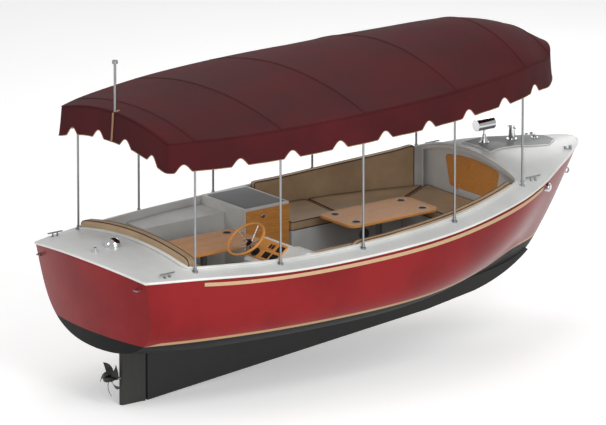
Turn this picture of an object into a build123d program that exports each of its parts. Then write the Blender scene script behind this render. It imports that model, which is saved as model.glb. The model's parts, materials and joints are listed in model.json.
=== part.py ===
from build123d import *
from math import atan2, cos, pi, radians, sin, sqrt
import os

# A small electric launch: moulded hull and deck, U-shaped seating, a fabric top on ten
# posts, and a rudder leg that carries the propeller.  Millimetres.  +X is forward, +Y is
# port, +Z is up.  The origin is on the centreline, half way along the hull, at the waterline.

# ---- overall sizes --------------------------------------------------------------------
hull_length = 5800.0       # transom corner to stem head
hull_beam = 2576.0         # over the hull's sides, at the widest
lines_length = 5800.0      # the size that the lines below are drawn at
lines_beam = 2576.0

hull_wall = 12.0
fit_gap = 0.4              # between mouldings that are bonded together
soft_gap = 2.0             # round cushions
running_gap = 0.05         # radial, between a shaft and its bearing

deck_thick = 22.0
deck_overhang = 8.0
transom_bulge = 110.0      # how far the transom's middle stands aft of its corners
transom_rake = 0.217       # run per unit of fall

cockpit_aft = 500.0        # distances from the transom corners, on the lines plan
cockpit_fore = 4500.0
coaming_inset = 165.0
coaming_wide = 18.0
coaming_high = 26.0
cockpit_corner = 110.0
liner_thick = 10.0
bow_open = 700.0            # half width of the liner's opening onto the bulkhead

sole_thick = 18.0
sole_aft = 760.0
bulkhead_at = 4556.0
bulkhead_thick = 18.0
seat_height = 380.0
seat_panel = 12.0
cushion_thick = 95.0
cushion_nose = 15.0
backrest_thick = 74.0
backrest_rise = 52.0       # above the deck beside it
aft_backrest_rise = 108.0
aisle_port = 410.0
aisle_starboard = -500.0
aisle_fore = 4020.0

post_stations = (540.0, 1394.0, 2324.0, 3468.0, 4515.0)
post_inset = 119.0
post_dia = 22.0
post_foot_dia = 54.0
post_foot_high = 12.0
rail_dia = 25.0
rail_drop = 45.0           # rail centre below the eave
bow_tube_dia = 20.0
roof_thick = 6.0
roof_clear = 0.6           # between the fabric and the bows that carry it
valance_high = 280.0
valance_thick = 4.0
canopy_aft = 284.0
canopy_corner = 5070.0
canopy_nose = 5270.0
scallop_dia = 120.0
scallop_sink = 14.0
scallop_first = 135.0
scallop_pitch = 530.0

pivot_at = 600.0           # rudder stock
rudder_nose = 34.0
rudder_half = 27.0
rudder_chord = 260.0       # pivot to trailing edge
rudder_top = -306.0
rudder_foot = -815.0
skeg_gap = 8.0
keel_wide = 60.0
stock_dia = 50.0
stock_bore = 24.0
tube_wall = 12.0
tube_top = -40.0
prop_axis = -550.0
prop_dia = 380.0
prop_blades = 5
prop_shaft_dia = 25.0
drive_shaft_dia = 20.0
bevel_in = 12.0            # cone distances of the bevel pair
bevel_out = 20.0
bevel_gap = 0.4

table_long = 1070.0
table_wide = 560.0
table_thick = 25.0
table_top_z = 545.0
table_leg_dia = 62.0
table_socket_deep = 120.0
table_places = {"table_aft": (1420.0, 120.0), "table_fore": (3420.0, 0.0)}
cup_spread = (400.0, 165.0)
cup_dia = 78.0
cup_deep = 62.0
cup_wall = 2.5

wheel_dia = 390.0
wheel_rim_dia = 27.0
wheel_stand = 200.0        # rim plane above the dash
wheel_spokes = 5


# ---- lines ----------------------------------------------------------------------------
def fair(points):
    # A smooth curve through (distance, value) points, to be read at any distance.
    last = len(points) - 1
    slopes = []
    for i in range(last + 1):
        before = points[max(i - 1, 0)]
        after = points[min(i + 1, last)]
        slopes.append((after[1] - before[1]) / (after[0] - before[0]))

    def read(d):
        i = 0
        while i < last - 1 and d > points[i + 1][0]:
            i += 1
        d0, v0 = points[i]
        d1, v1 = points[i + 1]
        w = d1 - d0
        t = (d - d0) / w
        start = (2 * t**3 - 3 * t**2 + 1) * v0 + (t**3 - 2 * t**2 + t) * w * slopes[i]
        return start + (3 * t**2 - 2 * t**3) * v1 + (t**3 - t**2) * w * slopes[i + 1]

    return read


plan_line = fair([(-150, 802), (0, 860), (540, 1036), (1400, 1228), (2320, 1288), (3470, 1222),
                  (4510, 940), (5050, 640), (5489, 345), (5650, 215), (5750, 118), (5796, 30)])
deck_edge = fair([(-150, 644), (0, 640), (540, 630), (1400, 600), (2320, 601), (3470, 642),
                  (4510, 740), (5300, 838), (5800, 888)])
deck_camber = fair([(-150, 70), (0, 92), (500, 135), (2320, 175), (3470, 195), (4510, 222),
                    (4750, 230), (5300, 106), (5650, 35), (5796, 8)])
keel_line = fair([(-150, -175), (0, -200), (340, -250), (645, -288), (1500, -335), (2600, -350),
                  (3700, -345), (4400, -325), (4857, -272), (5075, -210), (5240, -120),
                  (5348, 6), (5489, 231), (5633, 488), (5720, 668), (5796, 846)])
fullness = fair([(-150, 4.5), (1500, 4.4), (2600, 4.4), (3500, 3.7), (4040, 2.8), (4640, 2.0),
                 (4930, 1.6), (5796, 1.3)])
bilge = fair([(-150, 2.4), (0, 2.4), (1500, 1.4), (2600, 1.3), (4040, 1.1), (4640, 1.0),
              (5796, 1.0)])
flare = fair([(-150, 0.1), (2600, 0.06), (4040, 0.1), (4640, 0.2), (5796, 0.3)])
eave_line = fair([(250, 1921), (1400, 1945), (2320, 1962), (3470, 1972), (4515, 1972),
                  (5070, 1950), (5290, 1936)])
roof_camber = fair([(250, 128), (1400, 160), (2320, 192), (3470, 246), (4380, 288), (4800, 240),
                    (5070, 150), (5290, 30)])
canopy_plan = fair([(250, 824), (540, 950), (1394, 1146), (2324, 1210), (3468, 1144),
                    (4515, 858), (5070, 540)])


def st(d):
    # A distance from the transom on the lines plan, as a place along the hull.
    return d * hull_length / lines_length - hull_length / 2


def br(y):
    return y * hull_beam / lines_beam


def half_beam(d):
    return br(plan_line(d))


def post_y(d):
    return half_beam(d) - post_inset


def camber_radius(d):
    # Radius of the deck's arc across the boat.
    b = half_beam(d) + deck_overhang
    h = deck_camber(d)
    return (b * b + h * h) / (2 * h)


def camber_z(d, y):
    # Height of the deck's surface at a distance and breadth.
    r = camber_radius(d)
    return deck_edge(d) + deck_camber(d) - r + sqrt(r * r - y * y)


hull_stations = (-150, 250, 800, 1400, 2320, 3200, 3900, 4500, 4900, 5200, 5420, 5600, 5720, 5796)
deck_stations = (-150, 250, 800, 1600, 2320, 3200, 4000, 4510, 4750, 5050, 5300, 5500, 5650,
                 5750, 5796)
roof_stations = (250, 300, 540, 950, 1394, 1850, 2324, 2900, 3468, 4000, 4380, 4515, 4800, 5040,
                 5160, 5290)
section_steps = 8


def transom_cutter(inset, rake):
    # Everything aft of the transom's face.
    chord = half_beam(0)
    radius = (chord * chord + transom_bulge * transom_bulge) / (2 * transom_bulge)
    level = deck_edge(0)
    reach = 900.0
    with BuildSketch(Plane.XY.offset(level)) as plan:
        with Locations((st(0) + 100 - 300, 0)):
            Rectangle(600, 2 * half_beam(1400) + 400)
        with Locations((st(0) - transom_bulge + radius, 0)):
            Circle(radius - inset, mode=Mode.SUBTRACT)
    with BuildPart() as cutter:
        extrude(plan.sketch, amount=reach * sqrt(1 + rake * rake), dir=(rake, 0, -1))
        extrude(plan.sketch, amount=reach * sqrt(1 + rake * rake), dir=(-rake, 0, 1))
    return cutter.part


def hull_form(inset, last_station, rise=0.0):
    # The hull's outside, drawn in by inset, up to its sheer and then straight up by rise.
    with BuildPart() as form:
        for d in [s for s in hull_stations if s < last_station] + [last_station]:
            b = half_beam(d) - inset
            low = keel_line(d) + inset
            top = deck_edge(d) - deck_thick
            side = []
            for k in range(section_steps + 1):
                t = (k / section_steps) ** 1.8
                full = (1 - (1 - t) ** fullness(d)) ** (1 / bilge(d))
                side.append((b * ((1 - flare(d)) * full + flare(d) * t), low + (top - low) * t))
            other = [(-y, z) for y, z in reversed(side)]
            with BuildSketch(Plane.YZ.offset(st(d))):
                with BuildLine():
                    Spline(*side)
                    if rise:
                        Line(side[-1], (side[-1][0], top + rise))
                        Line((side[-1][0], top + rise), (other[0][0], top + rise))
                        Line((other[0][0], top + rise), other[0])
                    else:
                        Line(side[-1], other[0])
                    Spline(*other)
                make_face()
        loft()
        add(transom_cutter(inset, transom_rake), mode=Mode.SUBTRACT)
    return form.part


def deck_form(low, high):
    # A slab that follows the deck's sheer and camber, between two heights off its surface.
    with BuildPart() as form:
        for d in deck_stations:
            b = half_beam(d) + deck_overhang
            crown = deck_edge(d) + deck_camber(d)
            radius = camber_radius(d)
            edge = crown - radius + sqrt(radius * radius - b * b)
            with BuildSketch(Plane.YZ.offset(st(d))):
                with BuildLine():
                    ThreePointArc((b, edge + high), (0, crown + high), (-b, edge + high))
                    Line((-b, edge + high), (-b, edge + low))
                    ThreePointArc((-b, edge + low), (0, crown + low), (b, edge + low))
                    Line((b, edge + low), (b, edge + high))
                make_face()
        loft()
        add(transom_cutter(-deck_overhang, 0.0), mode=Mode.SUBTRACT)
    return form.part


def cockpit_face(grow, aft=cockpit_aft, fore=cockpit_fore):
    # The cockpit's outline in plan, grown or shrunk.
    a = aft - grow
    f = fore + grow
    stations = [a + (f - a) * k / 8 for k in range(9)]
    port = [(st(d), half_beam(d) - coaming_inset + grow) for d in stations]
    starboard = [(x, -y) for x, y in reversed(port)]
    with BuildSketch() as face:
        with BuildLine():
            Spline(*port)
            Line(port[-1], starboard[0])
            Spline(*starboard)
            Line(starboard[-1], port[0])
        make_face()
        fillet(face.vertices(), cockpit_corner + grow)
    return face.sketch


def canopy_face(grow):
    stations = [canopy_aft, 900, 1600, 2324, 3100, 3900, 4515, canopy_corner]
    port = [(st(d), br(canopy_plan(d)) + grow) for d in stations]
    port[0] = (port[0][0] - grow, port[0][1])
    starboard = [(x, -y) for x, y in reversed(port)]
    with BuildSketch() as face:
        with BuildLine():
            Spline(*port)
            ThreePointArc(port[-1], (st(canopy_nose) + grow, 0), starboard[0])
            Spline(*starboard)
            Line(starboard[-1], port[0])
        make_face()
    return face.sketch


def roof_form(low, high):
    with BuildPart() as form:
        for d in roof_stations:
            b = br(canopy_plan(min(d, canopy_corner)))
            h = roof_camber(d)
            radius = (b * b + h * h) / (2 * h)
            wide = b + 40
            crown = eave_line(d) + h
            edge = crown - radius + sqrt(radius * radius - wide * wide)
            with BuildSketch(Plane.YZ.offset(st(d))):
                with BuildLine():
                    ThreePointArc((wide, edge + high), (0, crown + high), (-wide, edge + high))
                    Line((-wide, edge + high), (-wide, edge + low))
                    ThreePointArc((-wide, edge + low), (0, crown + low), (wide, edge + low))
                    Line((wide, edge + low), (wide, edge + high))
                make_face()
        loft()
    return form.part


def strip_form(line, low, high, wide, stations):
    # A flat slab whose height follows a line along the boat.
    with BuildPart() as form:
        for d in stations:
            with BuildSketch(Plane.YZ.offset(st(d))):
                with BuildLine():
                    Polyline((wide, line(d) + high), (-wide, line(d) + high),
                             (-wide, line(d) + low), (wide, line(d) + low), close=True)
                make_face()
        loft()
    return form.part


def block(x0, x1, y0, y1, z0, z1):
    with BuildPart() as solid:
        with Locations(((x0 + x1) / 2, (y0 + y1) / 2, (z0 + z1) / 2)):
            Box(abs(x1 - x0), abs(y1 - y0), abs(z1 - z0))
    return solid.part


def prism(face, z0, z1):
    with BuildPart() as solid:
        extrude(face.moved(Location((0, 0, z0))), amount=z1 - z0)
    return solid.part


def outline(points):
    with BuildSketch() as face:
        with BuildLine():
            Polyline(*points, close=True)
        make_face()
    return face.sketch


def rod(start, end, radius):
    # A round bar from one point to another.
    a = Vector(*start)
    b = Vector(*end)
    with BuildPart() as solid:
        with BuildSketch(Plane(origin=a, z_dir=b - a)):
            Circle(radius)
        extrude(amount=(b - a).length)
    return solid.part


nodes = {}


def keep(name, builder):
    builder.part.label = name
    nodes[name] = builder.part


# ---- forms that the pieces share ------------------------------------------------------
hull_outside = hull_form(0.0, 5796, rise=250)
hull_skin = hull_form(-fit_gap / 2, 5796)
hull_inside = hull_form(hull_wall, 5600, rise=300)
hull_room = hull_form(hull_wall + fit_gap, 5580, rise=500)
below_deck = deck_form(-1700.0, -deck_thick - fit_gap)
on_deck = deck_form(-400.0, fit_gap / 2)
well_face = cockpit_face(-fit_gap)

# ---- hull, keel, deck -----------------------------------------------------------------
tube_radius = stock_dia / 2 + running_gap + tube_wall
pivot_x = st(pivot_at)
tube_foot = keel_line(pivot_at) - 6

with BuildPart() as hull_shell:
    add(hull_outside)
    add(hull_inside, mode=Mode.SUBTRACT)
    add(below_deck, mode=Mode.INTERSECT)
    add(rod((pivot_x, 0, -600), (pivot_x, 0, 0), tube_radius + fit_gap / 2), mode=Mode.SUBTRACT)
keep("hull_shell", hull_shell)

skeg_aft = pivot_x + rudder_nose + skeg_gap
with BuildPart() as keel_skeg:
    with BuildSketch(Plane.XZ):
        with BuildLine():
            Polyline((skeg_aft, -815), (st(1294), -758), (st(3990), -525), (st(4560), -440))
            Spline((st(4560), -440), (st(4857), -352), (st(5075), -246), (st(5225), -142))
            Polyline((st(5225), -142), (st(5100), -60), (skeg_aft, -60), (skeg_aft, -815))
        make_face()
    extrude(amount=keel_wide / 2, both=True)
    add(hull_skin, mode=Mode.SUBTRACT)
keep("keel_skeg", keel_skeg)

panel_edge = 215.0
panel_high = 9.0
with BuildPart() as deck_moulding:
    add(deck_form(-deck_thick, 0.0))
    add(prism(cockpit_face(0), 0, 1300), mode=Mode.SUBTRACT)
    lip = deck_form(-deck_thick + 1, coaming_high)
    ring = prism(cockpit_face(coaming_wide), 0, 1300) - prism(cockpit_face(0), -1, 1301)
    add(lip & ring)
    raised = outline([(st(4600), br(-panel_edge)), (st(5330), br(-panel_edge)), (st(5500), br(-90)),
                      (st(5500), br(90)), (st(5330), br(panel_edge)), (st(4600), br(panel_edge))])
    add(deck_form(-5.0, panel_high) & prism(raised, 500, 1300))
keep("deck_moulding", deck_moulding)

# ---- inside the hull ------------------------------------------------------------------
locker_aft = 1180.0
locker_top = 590.0
locker_wall = 12.0
locker_face = 745.0
cabinet_aft = 2140.0
well = prism(well_face, 0, 1000) & hull_room
liner_ring = prism(cockpit_face(liner_thick), 0.3, 1000) - prism(cockpit_face(0), 0, 1001)

with BuildPart() as cockpit_liner:
    add(liner_ring & hull_room & below_deck)
    add(block(st(cockpit_aft) - 40, st(bulkhead_at) - fit_gap, -1500, 1500, 0, 1000),
        mode=Mode.INTERSECT)
    locker_end = st(cabinet_aft) - fit_gap
    locker_room = prism(cockpit_face(1), 0, locker_top) & hull_room & below_deck
    add(block(st(locker_aft), locker_end, br(locker_face), 1500, 0.3, locker_top) & locker_room)
    add(block(st(locker_aft) + locker_wall, locker_end - locker_wall, br(locker_face) + locker_wall,
              half_beam(1600) - coaming_inset - 40, -1, locker_top - locker_wall), mode=Mode.SUBTRACT)
    add(block(st(cockpit_fore) - 40, st(bulkhead_at), -bow_open, bow_open, seat_height, 1100),
        mode=Mode.SUBTRACT)
keep("cockpit_liner", cockpit_liner)

with BuildPart() as cockpit_sole:
    add(block(st(sole_aft), st(bulkhead_at) - fit_gap, -1500, 1500, -sole_thick, 0))
    add(hull_room, mode=Mode.INTERSECT)
    for d, y in table_places.values():
        add(rod((st(d), br(y), -100), (st(d), br(y), 10), table_leg_dia / 2 + 6), mode=Mode.SUBTRACT)
keep("cockpit_sole", cockpit_sole)

# ---- bulkhead and its drop-down door ---------------------------------------------------
door_wide_top = 840.0
door_wide_foot = 700.0
door_low = 530.0
door_under_deck = 100.0
door_thick = 18.0
door_gap = 3.0
knob_rise = 270.0
bulkhead_x = st(bulkhead_at)


def door_face(grow):
    crown = deck_edge(bulkhead_at) + deck_camber(bulkhead_at) - door_under_deck
    drop = 45
    with BuildSketch(Plane.YZ.offset(bulkhead_x)) as face:
        with BuildLine():
            ThreePointArc((-door_wide_top / 2 - grow, crown - drop + grow), (0, crown + grow),
                          (door_wide_top / 2 + grow, crown - drop + grow))
            Polyline((door_wide_top / 2 + grow, crown - drop + grow),
                     (door_wide_foot / 2 + grow, door_low - grow),
                     (-door_wide_foot / 2 - grow, door_low - grow),
                     (-door_wide_top / 2 - grow, crown - drop + grow))
        make_face()
        fillet(face.vertices(), 36)
    return face.sketch


hinge_x = bulkhead_x - 6.2
hinge_z = door_low - 3
hinge_radius = 5.5
hinge_pin = 2.5
hinge_long = 40.0
hinge_spots = (-220.0, 220.0)
knuckle = hinge_long / 2

with BuildPart() as forward_bulkhead:
    add(block(bulkhead_x, bulkhead_x + bulkhead_thick, -1500, 1500, -400, 1200))
    add(hull_room, mode=Mode.INTERSECT)
    add(below_deck, mode=Mode.INTERSECT)
    extrude(door_face(0), amount=bulkhead_thick + 1, both=True, mode=Mode.SUBTRACT)
    for y in hinge_spots:
        for a, b in ((-2 * knuckle, -knuckle - 0.3), (knuckle + 0.3, 2 * knuckle)):
            add(rod((hinge_x, y + a, hinge_z), (hinge_x, y + b, hinge_z), hinge_radius))
            add(block(hinge_x, bulkhead_x + 0.5, y + a, y + b, hinge_z - 28, hinge_z))
        add(rod((hinge_x, y - 2 * knuckle, hinge_z), (hinge_x, y + 2 * knuckle, hinge_z), hinge_pin))
keep("forward_bulkhead", forward_bulkhead)

with BuildPart() as bulkhead_door:
    extrude(door_face(-door_gap), amount=door_thick)
    for y in hinge_spots:
        add(rod((hinge_x, y - knuckle, hinge_z), (hinge_x, y + knuckle, hinge_z), hinge_radius))
        add(block(hinge_x, bulkhead_x - 0.4, y - knuckle, y + knuckle, hinge_z, hinge_z + 44))
        add(block(hinge_x, bulkhead_x + 0.5, y - knuckle, y + knuckle, door_low + door_gap + 1,
                  hinge_z + 44))
        add(rod((hinge_x, y - hinge_long, hinge_z), (hinge_x, y + hinge_long, hinge_z),
                hinge_pin + running_gap), mode=Mode.SUBTRACT)
    with Locations(Location((bulkhead_x - 12, 0, door_low + knob_rise), (0, -90, 0))):
        Cylinder(16, 24)
keep("bulkhead_door", bulkhead_door)

# ---- seats ----------------------------------------------------------------------------
seat_aft = 2690.0
starboard_seat_aft = 2240.0
seat_fore = bulkhead_x - fit_gap


def seat_ring(inset, low, high):
    ring = block(st(starboard_seat_aft) + inset, seat_fore, -1500, 1500, low, high)
    ring -= block(st(starboard_seat_aft) - 1, st(aisle_fore) + inset,
                  br(aisle_starboard) - inset, br(aisle_port) + inset, low - 1, high + 1)
    return ring - block(st(starboard_seat_aft) - 1, st(seat_aft) + inset, 0, 1500, low - 1, high + 1)


aft_seat_front = 1130.0
aft_seat_back = 600.0
with BuildPart() as seat_bases:
    add(seat_ring(0, 0.3, seat_height) & well)
    add(seat_ring(seat_panel, -1, seat_height - seat_panel), mode=Mode.SUBTRACT)
    add(block(st(cockpit_aft) + 4, st(aft_seat_front), -1500, 1500, 0.3, seat_height) & well)
    add(block(st(cockpit_aft) - 9, st(aft_seat_front) - seat_panel, -1500, 1500, -1,
              seat_height - seat_panel), mode=Mode.SUBTRACT)
keep("seat_bases", seat_bases)

speaker_x = st(3560)
speaker_z = 200.0
with BuildPart() as speaker_grille:
    add(rod((speaker_x, br(aisle_port) - fit_gap / 2, speaker_z),
            (speaker_x, br(aisle_port) - 9, speaker_z), 58))
keep("speaker_grille", speaker_grille)

cushion_low = seat_height + 0.3
cushion_high = seat_height + cushion_thick
cushion_zone = prism(cockpit_face(-backrest_thick - 2 * soft_gap, fore=bulkhead_at + backrest_thick),
                     cushion_low, cushion_high)
cushion_zone = cushion_zone & hull_room
cushion_ring = seat_ring(-cushion_nose, cushion_low, cushion_high) & cushion_zone
corner_in = (st(aisle_fore) - cushion_nose, br(aisle_port) - cushion_nose)
corner_out = (seat_fore - soft_gap, half_beam(4480) - coaming_inset - backrest_thick)
half_gap = soft_gap / 2
port_region = outline([(st(2600), corner_in[1] - 20), (corner_in[0] - 20, corner_in[1] - 20),
                       (corner_in[0], corner_in[1] + half_gap),
                       (corner_out[0], corner_out[1] + half_gap),
                       (corner_out[0], 1500), (st(2600), 1500)])
starboard_in = (corner_in[0], br(aisle_starboard) + cushion_nose)
starboard_region = outline([(st(2100), starboard_in[1] + 20),
                            (starboard_in[0] - 20, starboard_in[1] + 20),
                            (starboard_in[0], starboard_in[1] - half_gap),
                            (corner_out[0], -corner_out[1] - half_gap),
                            (corner_out[0], -1500), (st(2100), -1500)])
bow_region = outline([(corner_in[0] - 1, corner_in[1] - half_gap),
                      (corner_out[0], corner_out[1] - half_gap),
                      (corner_out[0], -corner_out[1] + half_gap),
                      (starboard_in[0] - 1, starboard_in[1] + half_gap)])

with BuildPart() as cushion_port:
    add(cushion_ring & prism(port_region, 0, 900))
keep("cushion_port", cushion_port)

with BuildPart() as cushion_bow:
    add(cushion_ring & prism(bow_region, 0, 900))
keep("cushion_bow", cushion_bow)

with BuildPart() as cushion_starboard:
    add(cushion_ring & prism(starboard_region, 0, 900))
keep("cushion_starboard", cushion_starboard)

with BuildPart() as cushion_aft:
    add(block(st(aft_seat_back), st(aft_seat_front) + cushion_nose, -1500, 1500, cushion_low,
              cushion_high))
    add(prism(cockpit_face(-3 * soft_gap), 0, 900) & hull_room, mode=Mode.INTERSECT)
keep("cushion_aft", cushion_aft)

back_fore = cockpit_fore + 200
back_ring = prism(cockpit_face(-soft_gap, fore=back_fore), 0, 1300)
back_ring = back_ring - prism(cockpit_face(-backrest_thick, fore=back_fore), -1, 1301)
back_ring = back_ring & deck_form(-700, backrest_rise) & hull_room
back_ring = back_ring & block(st(400), st(5000), -1500, 1500, cushion_low, 1300)

with BuildPart() as backrest_port:
    add(back_ring & block(st(2725), st(4440), 50, 1500, 0, 1300))
keep("backrest_port", backrest_port)

with BuildPart() as backrest_starboard:
    add(back_ring & block(st(starboard_seat_aft) + 5, st(4420), -1500, -50, 0, 1300))
keep("backrest_starboard", backrest_starboard)

with BuildPart() as backrest_aft:
    add(block(st(cockpit_aft) + 10, st(aft_seat_back) - soft_gap, -1500, 1500, cushion_low, 1300))
    add(prism(cockpit_face(-3 * soft_gap), 0, 1300) & hull_room, mode=Mode.INTERSECT)
    add(deck_form(-700, aft_backrest_rise), mode=Mode.INTERSECT)
keep("backrest_aft", backrest_aft)

# ---- port cabinet ---------------------------------------------------------------------
cabinet_fore = 2672.0
cabinet_top = 680.0
cabinet_wall = 15.0
cabinet_door_thick = 18.0
latch_high = 600.0
cabinet_y = br(aisle_port) + cabinet_door_thick + fit_gap
opening_low = 60.0
with BuildPart() as cabinet_body:
    add(block(st(cabinet_aft), st(cabinet_fore), cabinet_y, 1500, 0.3, cabinet_top) & well)
    add(block(st(cabinet_aft) + cabinet_wall, st(cabinet_fore) - cabinet_wall,
              cabinet_y + cabinet_wall, br(locker_face + 270), 20, cabinet_top - cabinet_wall),
        mode=Mode.SUBTRACT)
    add(block(st(cabinet_aft) + 45, st(cabinet_fore) - 45, cabinet_y - 1, cabinet_y + 40,
              opening_low, cabinet_top - 50), mode=Mode.SUBTRACT)
keep("cabinet_body", cabinet_body)

cabinet_hinge_x = st(cabinet_fore) - 16
with BuildPart() as cabinet_door:
    add(block(st(cabinet_aft) + 14, cabinet_hinge_x, br(aisle_port),
              br(aisle_port) + cabinet_door_thick, 12, cabinet_top - 22))
    with Locations(Location((st(cabinet_aft) + 190, br(aisle_port) - 8, latch_high), (90, 0, 0))):
        Cylinder(12, 16)
keep("cabinet_door", cabinet_door)

# ---- helm -----------------------------------------------------------------------------
console_port = -400.0
dash_foot = (1530.0, 535.0)
dash_head = (1710.0, 675.0)
dash_wide = 430.0
dash_thick = 14.0
console_step = 515.0
console_wall = 12.0
dash_run = st(dash_head[0]) - st(dash_foot[0])
dash_rise = dash_head[1] - dash_foot[1]
dash_long = sqrt(dash_run**2 + dash_rise**2)
dash_mid = ((st(dash_foot[0]) + st(dash_head[0])) / 2, br(console_port) - dash_wide / 2,
            (dash_foot[1] + dash_head[1]) / 2)
dash_normal = (-dash_rise / dash_long, 0, dash_run / dash_long)
helm_plane = Plane(origin=dash_mid, x_dir=(0, -1, 0), z_dir=dash_normal)


def console_face(inset):
    with BuildSketch(Plane.XZ) as face:
        with BuildLine():
            Polyline((st(1500) + inset, 0.3 - 2 * inset), (st(1500) + inset, 500),
                     (st(dash_foot[0]) + inset, dash_foot[1] - inset),
                     (st(dash_head[0]), dash_head[1] - inset * 1.4),
                     (st(1765) - inset, dash_head[1] - inset * 1.4),
                     (st(1800) - inset, console_step - inset),
                     (st(2150) - inset, console_step - inset), (st(2150) - inset, 0.3 - 2 * inset),
                     close=True)
        make_face()
    return face.sketch


with BuildPart() as helm_console:
    extrude(console_face(0).moved(Location((0, br(console_port), 0))), amount=1000)
    add(well, mode=Mode.INTERSECT)
    inner = console_face(console_wall).moved(Location((0, br(console_port) - console_wall, 0)))
    extrude(inner, amount=1000, mode=Mode.SUBTRACT)
keep("helm_console", helm_console)

wheel_local = (-115.0, -61.0)
with BuildPart() as dash_panel:
    with BuildSketch(helm_plane.offset(fit_gap)):
        RectangleRounded(dash_wide - 4, dash_long - 4, 14)
    extrude(amount=dash_thick)
    with BuildSketch(helm_plane.offset(fit_gap + dash_thick)):
        with Locations((20, 52), (150, 52), (35, -52), (150, -52)):
            Rectangle(96, 72)
    extrude(amount=-8, mode=Mode.SUBTRACT)
keep("dash_panel", dash_panel)

with BuildPart() as gauge_cluster:
    with BuildSketch(helm_plane.offset(fit_gap * 2 + dash_thick - 8)):
        with Locations((35, -52), (150, -52), (150, 52)):
            Rectangle(94, 70)
    extrude(amount=5)
    with BuildSketch(helm_plane.offset(fit_gap * 2 + dash_thick - 3)):
        with Locations((35, -52), (128, -52), (172, -52)):
            Circle(20)
    extrude(amount=6)
keep("gauge_cluster", gauge_cluster)

rocker_spots = {"rocker_lights": (0, 52), "rocker_pump": (42, 52)}
rocker_z = fit_gap * 2 + dash_thick - 8
for name, spot in rocker_spots.items():
    with BuildPart() as rocker:
        with BuildSketch(helm_plane.offset(rocker_z + 6)):
            with Locations(spot):
                Rectangle(22, 44)
        extrude(amount=5)
        with BuildSketch(helm_plane.offset(rocker_z)):
            with Locations(spot):
                Rectangle(18, 4)
        extrude(amount=6)
    keep(name, rocker)


def helm_rod(spot, low, high, radius):
    with BuildPart() as solid:
        with BuildSketch(helm_plane.offset(low)):
            with Locations(spot):
                Circle(radius)
        extrude(amount=high - low)
    return solid.part


column_low = fit_gap * 2 + dash_thick
shaft_radius = 10.0
with BuildPart() as steering_column:
    add(helm_rod(wheel_local, column_low, column_low + 10, 46))
    add(helm_rod(wheel_local, column_low + 10, column_low + 90, 27))
    add(helm_rod(wheel_local, column_low + 20, column_low + 91, shaft_radius + running_gap),
        mode=Mode.SUBTRACT)
keep("steering_column", steering_column)

hub_low = column_low + 91
hub_high = hub_low + 36
rim_ring = wheel_dia / 2
rim_tube = wheel_rim_dia / 2
wheel_centre = helm_plane.from_local_coords(Vector(wheel_local[0], wheel_local[1], wheel_stand))
wheel_plane = Plane(origin=wheel_centre, x_dir=(0, -1, 0), z_dir=dash_normal)
with BuildPart() as wheel_hub:
    add(helm_rod(wheel_local, column_low + 22, hub_low, shaft_radius))
    add(helm_rod(wheel_local, hub_low, hub_high, 34))
    hub_drop = wheel_stand - (hub_low + hub_high) / 2
    for k in range(wheel_spokes):
        turn = 2 * pi * (k + 0.25) / wheel_spokes
        reach = rim_ring - rim_tube - fit_gap
        inner_end = wheel_plane.from_local_coords(Vector(20 * cos(turn), 20 * sin(turn), -hub_drop))
        outer_end = wheel_plane.from_local_coords(Vector(reach * cos(turn), reach * sin(turn), -4))
        add(rod(inner_end, outer_end, 4.5))
keep("wheel_hub", wheel_hub)

with BuildPart() as wheel_rim:
    with BuildSketch(Plane(origin=wheel_centre + Vector(0, -rim_ring, 0), x_dir=(0, -1, 0),
                           z_dir=Vector(0, -1, 0).cross(Vector(*dash_normal)))):
        Circle(rim_tube)
    revolve(axis=Axis(wheel_centre, dash_normal))
keep("wheel_rim", wheel_rim)

throttle_at = 1165.0
throttle_z = 522.0
throttle_wall = -(half_beam(throttle_at) - coaming_inset)
throttle_face = throttle_wall + 26
throttle_x = st(throttle_at)
with BuildPart() as throttle_base:
    behind = throttle_wall - 30
    add(rod((throttle_x, throttle_face, throttle_z), (throttle_x, behind, throttle_z), 40) & well)
keep("throttle_base", throttle_base)

with BuildPart() as throttle_lever:
    lever_y = throttle_face + 0.3
    add(rod((throttle_x, lever_y, throttle_z), (throttle_x, lever_y + 14, throttle_z), 24))
    add(rod((throttle_x, lever_y + 7, throttle_z), (throttle_x, lever_y + 34, throttle_z + 105), 6))
    with Locations((throttle_x, lever_y + 36, throttle_z + 114)):
        Sphere(20)
keep("throttle_lever", throttle_lever)

# ---- fabric top and its frame ----------------------------------------------------------


def rail_z(d):
    return eave_line(d) - rail_drop


with BuildPart() as canopy_posts:
    for side in (1, -1):
        for d in post_stations:
            y = side * post_y(d)
            foot = camber_z(d, y)
            top = rail_z(d) - rail_dia / 2 - fit_gap
            add(rod((st(d), y, foot - 20), (st(d), y, top), post_dia / 2))
            add(rod((st(d), y, foot - 20), (st(d), y, foot + post_foot_high), post_foot_dia / 2))
    add(on_deck, mode=Mode.SUBTRACT)
keep("canopy_posts", canopy_posts)

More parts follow.
